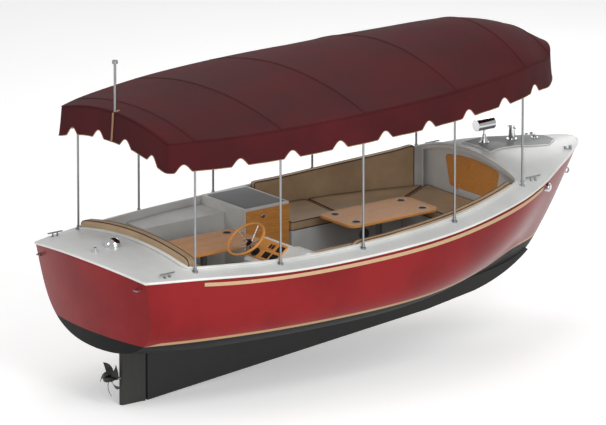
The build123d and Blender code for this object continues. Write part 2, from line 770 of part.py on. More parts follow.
rail_nodes = [(st(300), post_y(post_stations[0]) - 100, rail_z(300))]
rail_nodes += [(st(d), post_y(d), rail_z(d)) for d in post_stations]
rail_nodes.append((st(5040), br(canopy_plan(5040)) - 30, rail_z(5040)))
with BuildPart() as canopy_frame:
    for side in (1, -1):
        with BuildLine() as rail_path:
            Polyline(*[(x, side * y, z) for x, y, z in rail_nodes])
        with BuildSketch(Plane(origin=rail_path.line @ 0, z_dir=rail_path.line % 0)):
            Circle(rail_dia / 2)
        sweep(path=rail_path.line, transition=Transition.RIGHT)
    for x, y, z in rail_nodes:
        d = (x + hull_length / 2) * lines_length / hull_length
        fall = (roof_camber(d + 10) - roof_camber(d - 10)) / 20
        reach = bow_tube_dia / 2 * sqrt(1 + fall * fall)
        top = eave_line(d) + roof_camber(d) - roof_thick - roof_clear - reach
        spring = 2 * atan2(top - z - (rail_dia + bow_tube_dia) / 2, y)
        seat = (rail_dia / 2 + fit_gap) ** 2 - (bow_tube_dia / 2 * sin(spring)) ** 2
        lift = bow_tube_dia / 2 * cos(spring) + sqrt(seat)
        with BuildLine() as bow_path:
            ThreePointArc((x, -y, z + lift), (x, 0, top), (x, y, z + lift))
        with BuildSketch(Plane(origin=bow_path.line @ 0, z_dir=bow_path.line % 0)):
            Circle(bow_tube_dia / 2)
        sweep(path=bow_path.line)
keep("canopy_frame", canopy_frame)

pole_dia = 25.0
pole_x = st(300)
pole_foot = eave_line(300) + roof_camber(300) - roof_thick - roof_clear
with BuildPart() as canopy_roof:
    add(roof_form(-roof_thick, 0.0) & prism(canopy_face(0), 1500, 2600))
    add(rod((pole_x, 0, 1500), (pole_x, 0, 2600), pole_dia / 2 + 1), mode=Mode.SUBTRACT)
keep("canopy_roof", canopy_roof)

valance_stations = (240, 800, 1400, 2320, 3100, 3900, 4515, 5070, 5320)
with BuildPart() as canopy_valance:
    add(prism(canopy_face(valance_thick + fit_gap), 1500, 2300)
        - prism(canopy_face(fit_gap), 1499, 2301))
    add(strip_form(eave_line, -valance_high, -2.0, 1600, valance_stations), mode=Mode.INTERSECT)
    for side in (1, -1):
        for k in range(9):
            d = canopy_aft + scallop_first + k * scallop_pitch
            y = side * br(canopy_plan(d))
            z = eave_line(d) - valance_high - scallop_sink
            add(rod((st(d), y - 60, z), (st(d), y + 60, z), scallop_dia / 2), mode=Mode.SUBTRACT)
    for y in (-630, -210, 210, 630):
        z = eave_line(canopy_aft) - valance_high - scallop_sink
        x = st(canopy_aft)
        add(rod((x - 60, y, z), (x + 60, y, z), scallop_dia / 2), mode=Mode.SUBTRACT)
keep("canopy_valance", canopy_valance)

with BuildPart() as stern_light:
    add(rod((pole_x, 0, pole_foot), (pole_x, 0, pole_foot + 470), pole_dia / 2))
    add(rod((pole_x, 0, pole_foot + 470), (pole_x, 0, pole_foot + 500), 27))
    add(rod((pole_x, 0, pole_foot - 30), (pole_x, 0, pole_foot + 8), pole_dia / 2))
    add(canopy_frame.part, mode=Mode.SUBTRACT)
    add(block(pole_x - 60, pole_x + 60, -60, 60, pole_foot - 400, pole_foot - bow_tube_dia / 2),
        mode=Mode.SUBTRACT)
keep("stern_light", stern_light)

# ---- lift-out tables -------------------------------------------------------------------
leg_radius = table_leg_dia / 2
socket_in = leg_radius + 0.1
sockets = []
for name, place in table_places.items():
    x = st(place[0])
    y = br(place[1])
    sockets.append((x, y))
    centre = (x, y)
    spots = [(x + sx * cup_spread[0], y + sy * cup_spread[1]) for sx in (1, -1) for sy in (1, -1)]
    with BuildPart() as top:
        with BuildSketch(Plane.XY.offset(table_top_z - table_thick)):
            with Locations(centre):
                RectangleRounded(table_long, table_wide, 90)
        extrude(amount=table_thick)
        for spot in spots:
            add(rod((*spot, table_top_z - 60), (*spot, table_top_z + 5), cup_dia / 2 + fit_gap / 2),
                mode=Mode.SUBTRACT)
    keep(name + "_top", top)
    with BuildPart() as leg:
        add(rod((x, y, -table_socket_deep + 6), (x, y, table_top_z - table_thick - 12), leg_radius))
        add(rod((x, y, table_top_z - table_thick - 12), (x, y, table_top_z - table_thick - fit_gap / 2),
                90))
    keep(name + "_leg", leg)
    with BuildPart() as cups:
        for spot in spots:
            add(rod((*spot, table_top_z - cup_deep), (*spot, table_top_z + 0.4), cup_dia / 2))
            add(rod((*spot, table_top_z + 0.4), (*spot, table_top_z + 3), cup_dia / 2 + 6))
            add(rod((*spot, table_top_z - cup_deep + cup_wall), (*spot, table_top_z + 4),
                    cup_dia / 2 - cup_wall), mode=Mode.SUBTRACT)
    keep(name + "_cups", cups)

with BuildPart() as table_sockets:
    for x, y in sockets:
        add(rod((x, y, -table_socket_deep), (x, y, 4), leg_radius + 5.6))
        add(rod((x, y, 0.4), (x, y, 6), leg_radius + 22))
    for x, y in sockets:
        add(rod((x, y, -table_socket_deep + 5.6), (x, y, 7), socket_in), mode=Mode.SUBTRACT)
keep("table_sockets", table_sockets)

# ---- deck fittings ---------------------------------------------------------------------
cleat_long = 170.0
with BuildPart() as mooring_fittings:
    for d, inset in ((241, 62), (4679, 84)):
        for side in (1, -1):
            y = side * (half_beam(d) - inset)
            z = camber_z(d, y)
            x = st(d)
            add(rod((x - cleat_long / 2, y, z + 38), (x + cleat_long / 2, y, z + 38), 7))
            for foot in (-27, 27):
                add(rod((x + foot, y, z - 20), (x + foot, y, z + 38), 8))
                add(rod((x + foot, y, z - 20), (x + foot, y, z + 6), 15))
    for side in (1, -1):
        x = st(5489)
        y = side * (half_beam(5489) - 46)
        z = camber_z(5489, y)
        add(block(x - 42, x + 42, y - 12, y + 12, z - 20, z + 9))
        for end in (-1, 1):
            add(block(x + end * 42, x + end * 20, y - 9, y + 9, z + 8, z + 32))
    add(on_deck, mode=Mode.SUBTRACT)
keep("mooring_fittings", mooring_fittings)

eye_z = 560.0
eye_x = st(5668) + 52
eye_bore = 18.0
with BuildPart() as bow_eye:
    add(rod((eye_x, -7, eye_z), (eye_x, 7, eye_z), 30))
    add(rod((eye_x - 120, 0, eye_z), (eye_x - 20, 0, eye_z), 8))
    add(rod((eye_x, -8, eye_z), (eye_x, 8, eye_z), eye_bore), mode=Mode.SUBTRACT)
    add(hull_skin, mode=Mode.SUBTRACT)
    add(block(eye_x - 80, eye_x + 60, -60, 60, eye_z - 60, eye_z + 60), mode=Mode.INTERSECT)
keep("bow_eye", bow_eye)

eye_y = half_beam(0) - 95
eye_aft = st(0) - 45
with BuildPart() as transom_eyes:
    for side in (1, -1):
        for y in (side * eye_y - 22, side * eye_y + 22):
            add(rod((st(200), y, 545), (eye_aft, y, 545), 6))
        add(rod((eye_aft, side * eye_y - 22, 545), (eye_aft, side * eye_y + 22, 545), 6))
        for y in (side * eye_y - 22, side * eye_y + 22):
            with Locations((eye_aft, y, 545)):
                Sphere(6)
    add(hull_skin, mode=Mode.SUBTRACT)
    add(block(st(0) - 300, st(60), -1500, 1500, 400, 600), mode=Mode.INTERSECT)
keep("transom_eyes", transom_eyes)

on_panel = deck_form(-300.0, panel_high + fit_gap / 2)
bitt_x = st(5040)
bitt_z = camber_z(5040, 0) + panel_high
with BuildPart() as samson_post:
    add(rod((bitt_x, 0, bitt_z - 20), (bitt_x, 0, bitt_z + 150), 32))
    add(rod((bitt_x, 0, bitt_z - 20), (bitt_x, 0, bitt_z + 8), 52))
    add(rod((bitt_x, -62, bitt_z + 118), (bitt_x, 62, bitt_z + 118), 7))
    add(on_panel, mode=Mode.SUBTRACT)
keep("samson_post", samson_post)

socket_bore = 12.7
socket_deep = 30.0
with BuildPart() as flag_sockets:
    for d, sink in ((60, 0.0), (5320, panel_high)):
        z = camber_z(d, 0) + sink
        add(rod((st(d), 0, z - 20), (st(d), 0, z + socket_deep + 6), 20))
        add(rod((st(d), 0, z - 20), (st(d), 0, z + 7), 34))
        add(rod((st(d), 0, z + 6), (st(d), 0, z + socket_deep + 7), socket_bore), mode=Mode.SUBTRACT)
    add(on_deck, mode=Mode.SUBTRACT)
    add(block(st(5000), st(5700), -200, 200, 500, 1300) & on_panel, mode=Mode.SUBTRACT)
keep("flag_sockets", flag_sockets)

vent_x = st(270)
vent_z = camber_z(270, 0)
vent_radius = 82.0
with BuildPart() as cowl_vent:
    with Locations((vent_x, 0, vent_z)):
        Sphere(vent_radius)
        Sphere(vent_radius - 4, mode=Mode.SUBTRACT)
    add(block(vent_x + 34, vent_x + 200, -200, 200, vent_z + 2, vent_z + 200), mode=Mode.SUBTRACT)
    add(block(vent_x - 200, vent_x + 200, -200, 200, vent_z - 200, vent_z - 30), mode=Mode.SUBTRACT)
    add(on_deck, mode=Mode.SUBTRACT)
keep("cowl_vent", cowl_vent)

light_at = 4900.0
with BuildPart() as sidelights:
    for side in (1, -1):
        y = side * half_beam(light_at)
        z = deck_edge(light_at) - 95
        fall = half_beam(light_at - 100) - half_beam(light_at + 100)
        slope = atan2(fall, st(light_at + 100) - st(light_at - 100))
        out = Vector(sin(slope), side * cos(slope), 0)
        spot = Vector(st(light_at), y, z)
        add(rod(spot - out * 60, spot + out * 14, 42))
        add(rod(spot - out * 60, spot + out * 26, 28))
    add(hull_skin, mode=Mode.SUBTRACT)
keep("sidelights", sidelights)

strake_proud = 9.0
with BuildPart() as rub_strakes:
    add(hull_form(-strake_proud, 5796))
    add(hull_skin, mode=Mode.SUBTRACT)
    add(strip_form(deck_edge, -deck_thick - 62, -deck_thick - 26, 1700,
                   (560, 1400, 2320, 3200, 4000, 4510, 4800)), mode=Mode.INTERSECT)
keep("rub_strakes", rub_strakes)

# ---- searchlight -----------------------------------------------------------------------
lamp_x = st(4700)
lamp_base_z = camber_z(4700, 0) + panel_high
lamp_pan_z = lamp_base_z + 10
lamp_z = lamp_base_z + 185
lamp_radius = 56.0
lamp_long = 205.0
lamp_shell = 4.0
lens_back = 12.0
lamp_pivot_z = lamp_z - lamp_radius - 12
lamp_pin = 5.0
tongue_half = 6.0
with BuildPart() as searchlight_base:
    add(rod((lamp_x, 0, lamp_base_z - 20), (lamp_x, 0, lamp_pan_z), 46))
    add(on_panel, mode=Mode.SUBTRACT)
keep("searchlight_base", searchlight_base)

with BuildPart() as searchlight_yoke:
    with Locations((lamp_x, 0, lamp_pan_z + 0.3 + 40)):
        Cone(38, 13, 80)
    add(block(lamp_x - 9, lamp_x + 9, -tongue_half, tongue_half, lamp_pan_z + 75, lamp_pivot_z))
    add(rod((lamp_x, -tongue_half, lamp_pivot_z), (lamp_x, tongue_half, lamp_pivot_z), 9))
    add(rod((lamp_x, -10, lamp_pivot_z), (lamp_x, 10, lamp_pivot_z), lamp_pin + running_gap),
        mode=Mode.SUBTRACT)
keep("searchlight_yoke", searchlight_yoke)

with BuildPart() as searchlight_head:
    back = lamp_x - lamp_long / 2
    front = lamp_x + lamp_long / 2
    lens_radius = lamp_radius - 5
    add(rod((back, 0, lamp_z), (front, 0, lamp_z), lamp_radius))
    add(rod((front - lens_back, 0, lamp_z), (front + 1, 0, lamp_z), lens_radius), mode=Mode.SUBTRACT)
    add(rod((front - lens_back - 5, 0, lamp_z), (front, 0, lamp_z), lens_radius - 4),
        mode=Mode.SUBTRACT)
    add(rod((back + lamp_shell, 0, lamp_z), (front - lens_back - 4, 0, lamp_z),
            lamp_radius - lamp_shell), mode=Mode.SUBTRACT)
    for side in (1, -1):
        ear = side * (tongue_half + 0.3)
        add(rod((lamp_x, ear, lamp_pivot_z), (lamp_x, ear + side * 6, lamp_pivot_z), 9))
        add(block(lamp_x - 9, lamp_x + 9, ear, ear + side * 6, lamp_pivot_z,
                  lamp_z - lamp_radius + 2))
    pin_half = tongue_half + 3
    add(rod((lamp_x, -pin_half, lamp_pivot_z), (lamp_x, pin_half, lamp_pivot_z), lamp_pin))
    add(rod((front - lens_back + fit_gap, 0, lamp_z), (front - 4, 0, lamp_z),
            lens_radius - fit_gap / 2))
keep("searchlight_head", searchlight_head)

# ---- steering leg and drive --------------------------------------------------------------
leg_bore = bevel_out + 2
gear_fore = pivot_x - bevel_in
gear_aft = pivot_x - bevel_out
prop_radius = prop_dia / 2
leg_trail = pivot_x - rudder_chord
hub_x = st(245)
with BuildPart() as rudder_leg:
    with BuildSketch(Plane.XY.offset(rudder_foot)):
        with Locations((pivot_x, 0)):
            Circle(rudder_nose)
        with Locations(((pivot_x + leg_trail) / 2, 0)):
            RectangleRounded(rudder_chord, 2 * rudder_half, rudder_half - 2)
    extrude(amount=rudder_top - rudder_foot)
    add(rod((pivot_x, 0, prop_axis - leg_bore), (pivot_x, 0, rudder_top + 1), leg_bore),
        mode=Mode.SUBTRACT)
    add(rod((leg_trail - 1, 0, prop_axis), (pivot_x, 0, prop_axis), prop_shaft_dia / 2 + running_gap),
        mode=Mode.SUBTRACT)
    add(rod((gear_aft - 2, 0, prop_axis), (pivot_x, 0, prop_axis), leg_bore), mode=Mode.SUBTRACT)
keep("rudder_leg", rudder_leg)

stock_foot = rudder_top - 60
tiller_z = tube_top + 0.3
motor_low = tiller_z + 24
with BuildPart() as rudder_stock:
    add(rod((pivot_x, 0, stock_foot), (pivot_x, 0, rudder_top), leg_bore - fit_gap / 2))
    add(rod((pivot_x, 0, rudder_top), (pivot_x, 0, motor_low), stock_dia / 2))
    add(rod((pivot_x, 0, stock_foot - 1), (pivot_x, 0, motor_low + 1), stock_bore / 2),
        mode=Mode.SUBTRACT)
keep("rudder_stock", rudder_stock)

tiller_long = 175.0
with BuildPart() as tiller_arm:
    add(rod((pivot_x, 0, tiller_z), (pivot_x, 0, tiller_z + 20), 48))
    add(block(pivot_x, pivot_x + tiller_long, -16, 16, tiller_z + 4, tiller_z + 16))
    add(rod((pivot_x, 0, tiller_z - 1), (pivot_x, 0, tiller_z + 21), stock_dia / 2 + fit_gap / 2),
        mode=Mode.SUBTRACT)
keep("tiller_arm", tiller_arm)

motor_high = motor_low + 215
with BuildPart() as drive_motor:
    add(rod((pivot_x, 0, motor_low + fit_gap / 2), (pivot_x, 0, motor_high), 84))
    add(rod((pivot_x, 0, motor_low), (pivot_x, 0, motor_high - 30), stock_bore / 2), mode=Mode.SUBTRACT)
keep("drive_motor", drive_motor)

with BuildPart() as rudder_tube:
    add(rod((pivot_x, 0, tube_foot), (pivot_x, 0, tube_top), tube_radius))
    add(rod((pivot_x, 0, tube_foot - 1), (pivot_x, 0, tube_top + 1), stock_dia / 2 + running_gap),
        mode=Mode.SUBTRACT)
keep("rudder_tube", rudder_tube)

with BuildPart() as drive_shaft:
    with Locations((pivot_x, 0, prop_axis + (bevel_in + bevel_out) / 2)):
        Cone(bevel_in - bevel_gap, bevel_out - bevel_gap, bevel_out - bevel_in)
    add(rod((pivot_x, 0, prop_axis + bevel_out), (pivot_x, 0, motor_high - 31), drive_shaft_dia / 2))
keep("drive_shaft", drive_shaft)

with BuildPart() as prop_shaft:
    with Locations(Location(((gear_fore + gear_aft) / 2, 0, prop_axis), (0, -90, 0))):
        Cone(bevel_in - bevel_gap, bevel_out - bevel_gap, bevel_out - bevel_in)
    add(rod((gear_aft, 0, prop_axis), (hub_x - 60, 0, prop_axis), prop_shaft_dia / 2))
keep("prop_shaft", prop_shaft)

blade_pitch = radians(32)
blade_middle = 108.0        # shaft to the middle of a blade
with BuildPart() as propeller:
    add(rod((hub_x - 45, 0, prop_axis), (hub_x + 55, 0, prop_axis), 34))
    for k in range(prop_blades):
        turn = 2 * pi * k / prop_blades + 0.3
        radial = Vector(0, cos(turn), sin(turn))
        across = Vector(0, -sin(turn), cos(turn))
        face = Vector(1, 0, 0) * cos(blade_pitch) + across * sin(blade_pitch)
        middle = Vector(hub_x, 0, prop_axis) + radial * blade_middle
        with BuildSketch(Plane(origin=middle, x_dir=radial, z_dir=face)):
            Ellipse(prop_radius - blade_middle, 40)
        extrude(amount=3, both=True)
    prop_bore = prop_shaft_dia / 2 + fit_gap / 2
    add(rod((hub_x - 100, 0, prop_axis), (hub_x + 100, 0, prop_axis), prop_bore), mode=Mode.SUBTRACT)
    with Locations(Location((hub_x - 45 - 0.2 - 22, 0, prop_axis), (0, -90, 0))):
        Cone(26, 8, 44)
    add(rod((hub_x - 70, 0, prop_axis), (hub_x - 40, 0, prop_axis), prop_bore), mode=Mode.SUBTRACT)
keep("propeller", propeller)

# ---- batteries ---------------------------------------------------------------------------
with BuildPart() as batteries:
    for k in (-1.5, -0.5, 0.5, 1.5):
        y = k * 300
        add(block(st(840), st(840) + 250, y - 130, y + 130, 0.4, 240))
        for pole in (-70, 70):
            add(rod((st(840) + 50, y + pole, 240), (st(840) + 50, y + pole, 256), 9))
keep("batteries", batteries)

os.makedirs("parts", exist_ok=True)
for name, piece in nodes.items():
    export_step(piece, "parts/" + name + ".step")
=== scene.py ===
import json
import math

import bmesh
import bpy
import numpy as np
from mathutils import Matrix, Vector, noise
from mathutils.bvhtree import BVHTree

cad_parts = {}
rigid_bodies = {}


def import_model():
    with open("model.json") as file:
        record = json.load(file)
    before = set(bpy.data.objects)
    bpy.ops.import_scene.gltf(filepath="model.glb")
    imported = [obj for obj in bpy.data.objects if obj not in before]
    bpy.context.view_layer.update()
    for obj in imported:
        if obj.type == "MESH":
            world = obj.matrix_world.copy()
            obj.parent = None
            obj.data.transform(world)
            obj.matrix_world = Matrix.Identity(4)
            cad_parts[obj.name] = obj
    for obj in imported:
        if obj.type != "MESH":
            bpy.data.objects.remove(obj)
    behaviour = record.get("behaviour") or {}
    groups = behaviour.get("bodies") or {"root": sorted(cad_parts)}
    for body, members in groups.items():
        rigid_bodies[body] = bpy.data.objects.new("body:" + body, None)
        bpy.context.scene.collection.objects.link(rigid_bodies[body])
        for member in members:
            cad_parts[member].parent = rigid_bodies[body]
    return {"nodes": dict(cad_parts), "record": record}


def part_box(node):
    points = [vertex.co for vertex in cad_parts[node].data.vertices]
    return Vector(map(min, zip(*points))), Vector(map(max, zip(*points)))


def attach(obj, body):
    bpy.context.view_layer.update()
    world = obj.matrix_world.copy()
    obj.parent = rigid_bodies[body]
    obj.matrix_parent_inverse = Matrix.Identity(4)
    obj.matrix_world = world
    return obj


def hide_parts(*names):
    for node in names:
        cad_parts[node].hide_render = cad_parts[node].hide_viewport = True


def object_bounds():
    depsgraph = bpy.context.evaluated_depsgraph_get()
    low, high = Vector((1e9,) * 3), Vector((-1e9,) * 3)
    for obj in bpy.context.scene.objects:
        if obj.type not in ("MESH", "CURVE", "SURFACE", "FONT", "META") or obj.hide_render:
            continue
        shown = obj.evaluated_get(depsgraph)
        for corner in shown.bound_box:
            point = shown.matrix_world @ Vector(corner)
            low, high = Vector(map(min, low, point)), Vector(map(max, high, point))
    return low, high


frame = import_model()
for leftover in [o for o in bpy.data.objects if o.name in ("Cube", "Light", "Camera")]:
    bpy.data.objects.remove(leftover)
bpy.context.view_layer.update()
print("frame loaded:", len(frame["nodes"]), "nodes")


# small helpers

def srgb(r, g, b):
    # a paint colour given as 0-255, as the linear value that shaders take
    def one(v):
        v = v / 255
        return v / 12.92 if v <= 0.04045 else ((v + 0.055) / 1.055) ** 2.4
    return (one(r), one(g), one(b), 1.0)


def smooth(t):
    t = min(max(t, 0.0), 1.0)
    return t * t * (3 - 2 * t)


def newMesh(name, points, faces, sharp=None):
    mesh = bpy.data.meshes.new(name)
    mesh.from_pydata([tuple(p) for p in points], [], faces)
    mesh.update()
    piece = bpy.data.objects.new(name, mesh)
    bpy.context.scene.collection.objects.link(piece)
    mesh.polygons.foreach_set("use_smooth", [True] * len(mesh.polygons))
    if sharp:
        mesh.set_sharp_from_angle(angle=math.radians(sharp))
    return piece


def outward(piece):
    bm = bmesh.new()
    bm.from_mesh(piece.data)
    bmesh.ops.remove_doubles(bm, verts=bm.verts, dist=1e-6)
    bmesh.ops.recalc_face_normals(bm, faces=bm.faces)
    bm.to_mesh(piece.data)
    bm.free()
    return piece


def applyModifiers(piece):
    bpy.context.view_layer.update()
    ready = piece.evaluated_get(bpy.context.evaluated_depsgraph_get())
    mesh = bpy.data.meshes.new_from_object(ready)
    piece.modifiers.clear()
    piece.data = mesh
    return piece


def finished(piece, body, look, stands=()):
    # the last step of every piece: its material, its body and what it stands for
    piece.data.materials.clear()
    piece.data.materials.append(look)
    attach(piece, body)
    if stands:
        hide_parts(*stands)
    return piece


nodeBody = {n: b for b, ns in frame["record"]["behaviour"]["bodies"].items() for n in ns}
trees = {}


def treeOf(node):
    if node not in trees:
        mesh = frame["nodes"][node].data
        trees[node] = BVHTree.FromPolygons([v.co.copy() for v in mesh.vertices],
                                           [tuple(p.vertices) for p in mesh.polygons])
    return trees[node]


def topOf(node, x, y, above=4.0):
    # height of a CAD node's upper surface over a point of the plan
    hit = treeOf(node).ray_cast(Vector((x, y, above)), Vector((0, 0, -1)))
    return hit[0].z if hit[0] else None


def sideOf(node, x, z, side, fromOutside=True):
    # how far out a CAD node reaches to port (+1) or starboard (-1) at one height
    start = Vector((x, side * (3.0 if fromOutside else 0.0), z))
    way = Vector((0, -side if fromOutside else side, 0))
    hit = treeOf(node).ray_cast(start, way)
    return hit[0].y if hit[0] else None


def mergedCopy(node, name, flat=0.8):
    # a copy of a CAD node with its doubles merged and its flat faces whole again
    mesh = frame["nodes"][node].data.copy()
    bm = bmesh.new()
    bm.from_mesh(mesh)
    bmesh.ops.remove_doubles(bm, verts=bm.verts, dist=2e-5)
    if flat:
        bmesh.ops.dissolve_limit(bm, angle_limit=math.radians(flat), verts=bm.verts, edges=bm.edges)
    bm.to_mesh(mesh)
    bm.free()
    piece = bpy.data.objects.new(name, mesh)
    bpy.context.scene.collection.objects.link(piece)
    mesh.polygons.foreach_set("use_smooth", [True] * len(mesh.polygons))
    mesh.set_sharp_from_angle(angle=math.radians(32))
    return piece


def sharpLoops(node, least=40.0):
    # the crisp edges of a CAD node, chained into runs of points
    mesh = frame["nodes"][node].data.copy()
    bm = bmesh.new()
    bm.from_mesh(mesh)
    bmesh.ops.remove_doubles(bm, verts=bm.verts, dist=2e-5)
    limit = math.radians(least)
    crisp = {e for e in bm.edges if len(e.link_faces) == 2 and e.calc_face_angle(0.0) > limit}
    runs = []
    while crisp:
        edge = next(iter(crisp))
        crisp.discard(edge)
        ends = [edge.verts[0], edge.verts[1]]
        run = [ends[0].co.copy(), ends[1].co.copy()]
        for which in (1, 0):
            at = ends[which]
            while True:
                here = run[-1] if which else run[0]
                before = run[-2] if which else run[1]
                way = (here - before).normalized()
                choices = [e for e in at.link_edges if e in crisp]
                if not choices:
                    break
                best = max(choices, key=lambda e: (e.other_vert(at).co - here).normalized().dot(way))
                if (best.other_vert(at).co - here).normalized().dot(way) < 0.5:
                    break
                crisp.discard(best)
                at = best.other_vert(at)
                if which:
                    run.append(at.co.copy())
                else:
                    run.insert(0, at.co.copy())
        runs.append(run)
    bm.free()
    bpy.data.meshes.remove(mesh)
    return runs


def runLength(run):
    return sum((b - a).length for a, b in zip(run, run[1:]))


def spaced(run, step, closed=False):
    # points evenly spaced along a run
    points = [Vector(p) for p in run]
    if closed and (points[0] - points[-1]).length > 1e-6:
        points.append(points[0].copy())
    total = runLength(points)
    count = max(2, round(total / step))
    marks = [total * i / count for i in range(count + 1)]
    out = []
    done = 0.0
    i = 0
    for mark in marks:
        while i < len(points) - 2 and done + (points[i + 1] - points[i]).length < mark:
            done += (points[i + 1] - points[i]).length
            i += 1
        span = (points[i + 1] - points[i]).length
        out.append(points[i].lerp(points[i + 1], 0 if span < 1e-9 else min(1, (mark - done) / span)))
    return out[:-1] if closed else out


def softened(run, rounds, closed=False):
    points = [p.copy() for p in run]
    for _ in range(rounds):
        held = [p.copy() for p in points]
        for i in range(len(points)):
            if closed or 0 < i < len(points) - 1:
                before = held[i - 1]
                after = held[(i + 1) % len(held)]
                points[i] = (before + held[i] * 2 + after) / 4
    return points


def sweep(name, path, profile, closed=False, up=(0, 0, 1), ends=True):
    # a closed profile, given as (across, upwards) points, carried along a path
    upward = Vector(up)
    points = []
    count = len(path)
    for i, p in enumerate(path):
        if closed:
            way = path[(i + 1) % count] - path[i - 1]
        else:
            way = path[min(i + 1, count - 1)] - path[max(i - 1, 0)]
        way.normalize()
        across = way.cross(upward)
        if across.length < 1e-4:
            across = way.cross(Vector((1, 0, 0)))
        across.normalize()
        lift = across.cross(way)
        points += [p + across * a + lift * b for a, b in profile]
    n = len(profile)
    faces = []
    for i in range(count if closed else count - 1):
        j = (i + 1) % count
        faces += [(i * n + k, i * n + (k + 1) % n, j * n + (k + 1) % n, j * n + k) for k in range(n)]
    if not closed and ends:
        faces.append(tuple(reversed(range(n))))
        faces.append(tuple((count - 1) * n + k for k in range(n)))
    return outward(newMesh(name, points, faces, sharp=50))


def roundProfile(radius, sides=8, squash=1.0):
    return [(radius * math.cos(2 * math.pi * k / sides),
             squash * radius * math.sin(2 * math.pi * k / sides))
            for k in range(sides)]


def turned(name, outline, centre, axis=(0, 0, 1), sides=40):
    # a lathe shape: outline is (radius, along) points from one end of the axis to the other
    way = Vector(axis).normalized()
    side = way.orthogonal().normalized()
    other = way.cross(side)
    points = []
    for r, along in outline:
        for k in range(sides):
            a = 2 * math.pi * k / sides
            points.append(Vector(centre) + way * along + (side * math.cos(a) + other * math.sin(a)) * r)
    faces = []
    for i in range(len(outline) - 1):
        for k in range(sides):
            m = (k + 1) % sides
            faces.append((i * sides + k, i * sides + m, (i + 1) * sides + m, (i + 1) * sides + k))
    last = (len(outline) - 1) * sides
    faces.append(tuple(reversed(range(sides))))
    faces.append(tuple(last + k for k in range(sides)))
    return outward(newMesh(name, points, faces, sharp=35))


def joined(name, pieces):
    # several meshes with one look, as one piece
    points, faces = [], []
    for p in pieces:
        base = len(points)
        points += [v.co.copy() for v in p.data.vertices]
        faces += [tuple(base + i for i in f.vertices) for f in p.data.polygons]
        bpy.data.objects.remove(p)
    return newMesh(name, points, faces, sharp=38)


# shaders

class Value:
    # a socket that takes part in arithmetic
    def __init__(self, paint, socket):
        self.paint = paint
        self.socket = socket

    def maths(self, operation, other, flip=False):
        a, b = (other, self) if flip else (self, other)
        return Value(self.paint, self.paint.node("Math", {"operation": operation},
                                                 {0: a, 1: b}).outputs[0])

    def __add__(self, other): return self.maths("ADD", other)
    def __radd__(self, other): return self.maths("ADD", other, True)
    def __sub__(self, other): return self.maths("SUBTRACT", other)
    def __rsub__(self, other): return self.maths("SUBTRACT", other, True)
    def __mul__(self, other): return self.maths("MULTIPLY", other)
    def __rmul__(self, other): return self.maths("MULTIPLY", other, True)
    def __truediv__(self, other): return self.maths("DIVIDE", other)
    def above(self, other): return self.maths("GREATER_THAN", other)
    def below(self, other): return self.maths("LESS_THAN", other)
    def size(self): return self.maths("ABSOLUTE", 0.0)


class Paint:
    # one material, and the ways to add nodes to it
    def __init__(self, name, **constants):
        self.material = bpy.data.materials.new(name)
        self.material.use_nodes = True
        self.tree = self.material.node_tree
        self.tree.nodes.clear()
        self.shader = self.tree.nodes.new("ShaderNodeBsdfPrincipled")
        out = self.tree.nodes.new("ShaderNodeOutputMaterial")
        self.tree.links.new(self.shader.outputs[0], out.inputs[0])
        for socket, value in constants.items():
            self.shader.inputs[socket.replace("_", " ")].default_value = value
        self.place = Value(self, self.node("TexCoord", {}, {}).outputs["Object"])
        parts = self.node("SeparateXYZ", {}, {0: self.place})
        self.x, self.y, self.z = (Value(self, s) for s in parts.outputs)

    def node(self, kind, settings, sockets):
        made = self.tree.nodes.new("ShaderNode" + kind)
        for key, value in settings.items():
            if key == "stops":
                ramp = made.color_ramp
                while len(ramp.elements) < len(value):
                    ramp.elements.new(0.5)
                for element, (at, colour) in zip(ramp.elements, value):
                    element.position = at
                    element.color = colour
            else:
                setattr(made, key, value)
        for key, value in sockets.items():
            if isinstance(value, Value):
                self.tree.links.new(value.socket, made.inputs[key])
            else:
                made.inputs[key].default_value = value
        return made

    def stretched(self, scale, turn=(0, 0, 0)):
        mapping = self.node("Mapping", {}, {"Vector": self.place, "Scale": scale, "Rotation": turn})
        return Value(self, mapping.outputs[0])

    def noise(self, scale, detail=4.0, rough=0.55, along=None, warp=0.0):
        made = self.node("TexNoise", {}, {"Vector": along or self.place, "Scale": scale,
                                          "Detail": detail,
                                          "Roughness": rough, "Distortion": warp})
        return Value(self, made.outputs["Fac"])

    def cells(self, scale, feature="F1", along=None):
        made = self.node("TexVoronoi", {"feature": feature},
                         {"Vector": along or self.place, "Scale": scale})
        return Value(self, made.outputs["Distance"])

    def wave(self, scale, axis="X", warp=0.0, along=None):
        made = self.node("TexWave", {"bands_direction": axis},
                         {"Vector": along or self.place, "Scale": scale,
                                                              "Distortion": warp, "Detail": 2.0})
        return Value(self, made.outputs["Fac"])

    def band(self, value, low, high):
        # 0 below low, 1 above high
        made = self.node("MapRange", {"interpolation_type": "SMOOTHSTEP"},
                         {0: value, 1: low, 2: high, 3: 0.0, 4: 1.0})
        return Value(self, made.outputs[0])

    def mix(self, share, a, b):
        made = self.node("Mix", {"data_type": "RGBA"}, {0: share, 6: a, 7: b})
        return Value(self, made.outputs[2])

    def colour(self, value):
        self.tree.links.new(value.socket, self.shader.inputs["Base Color"])

    def rough(self, value):
        self.tree.links.new(value.socket, self.shader.inputs["Roughness"])

    def bump(self, height, strength, depth):
        made = self.node("Bump", {}, {"Height": height, "Strength": strength, "Distance": depth})
        self.tree.links.new(made.outputs[0], self.shader.inputs["Normal"])


hullPaint = {
    "red": srgb(134, 28, 31), "deepRed": srgb(118, 22, 26), "bottom": srgb(13, 14, 14),
    "stripe": srgb(176, 142, 104),
    "lineMidship": -0.022, "lineSlope": 0.009, "stripeHigh": 0.034, "stripeStart": -2.80,
    "stripeTaper": 0.16,
}


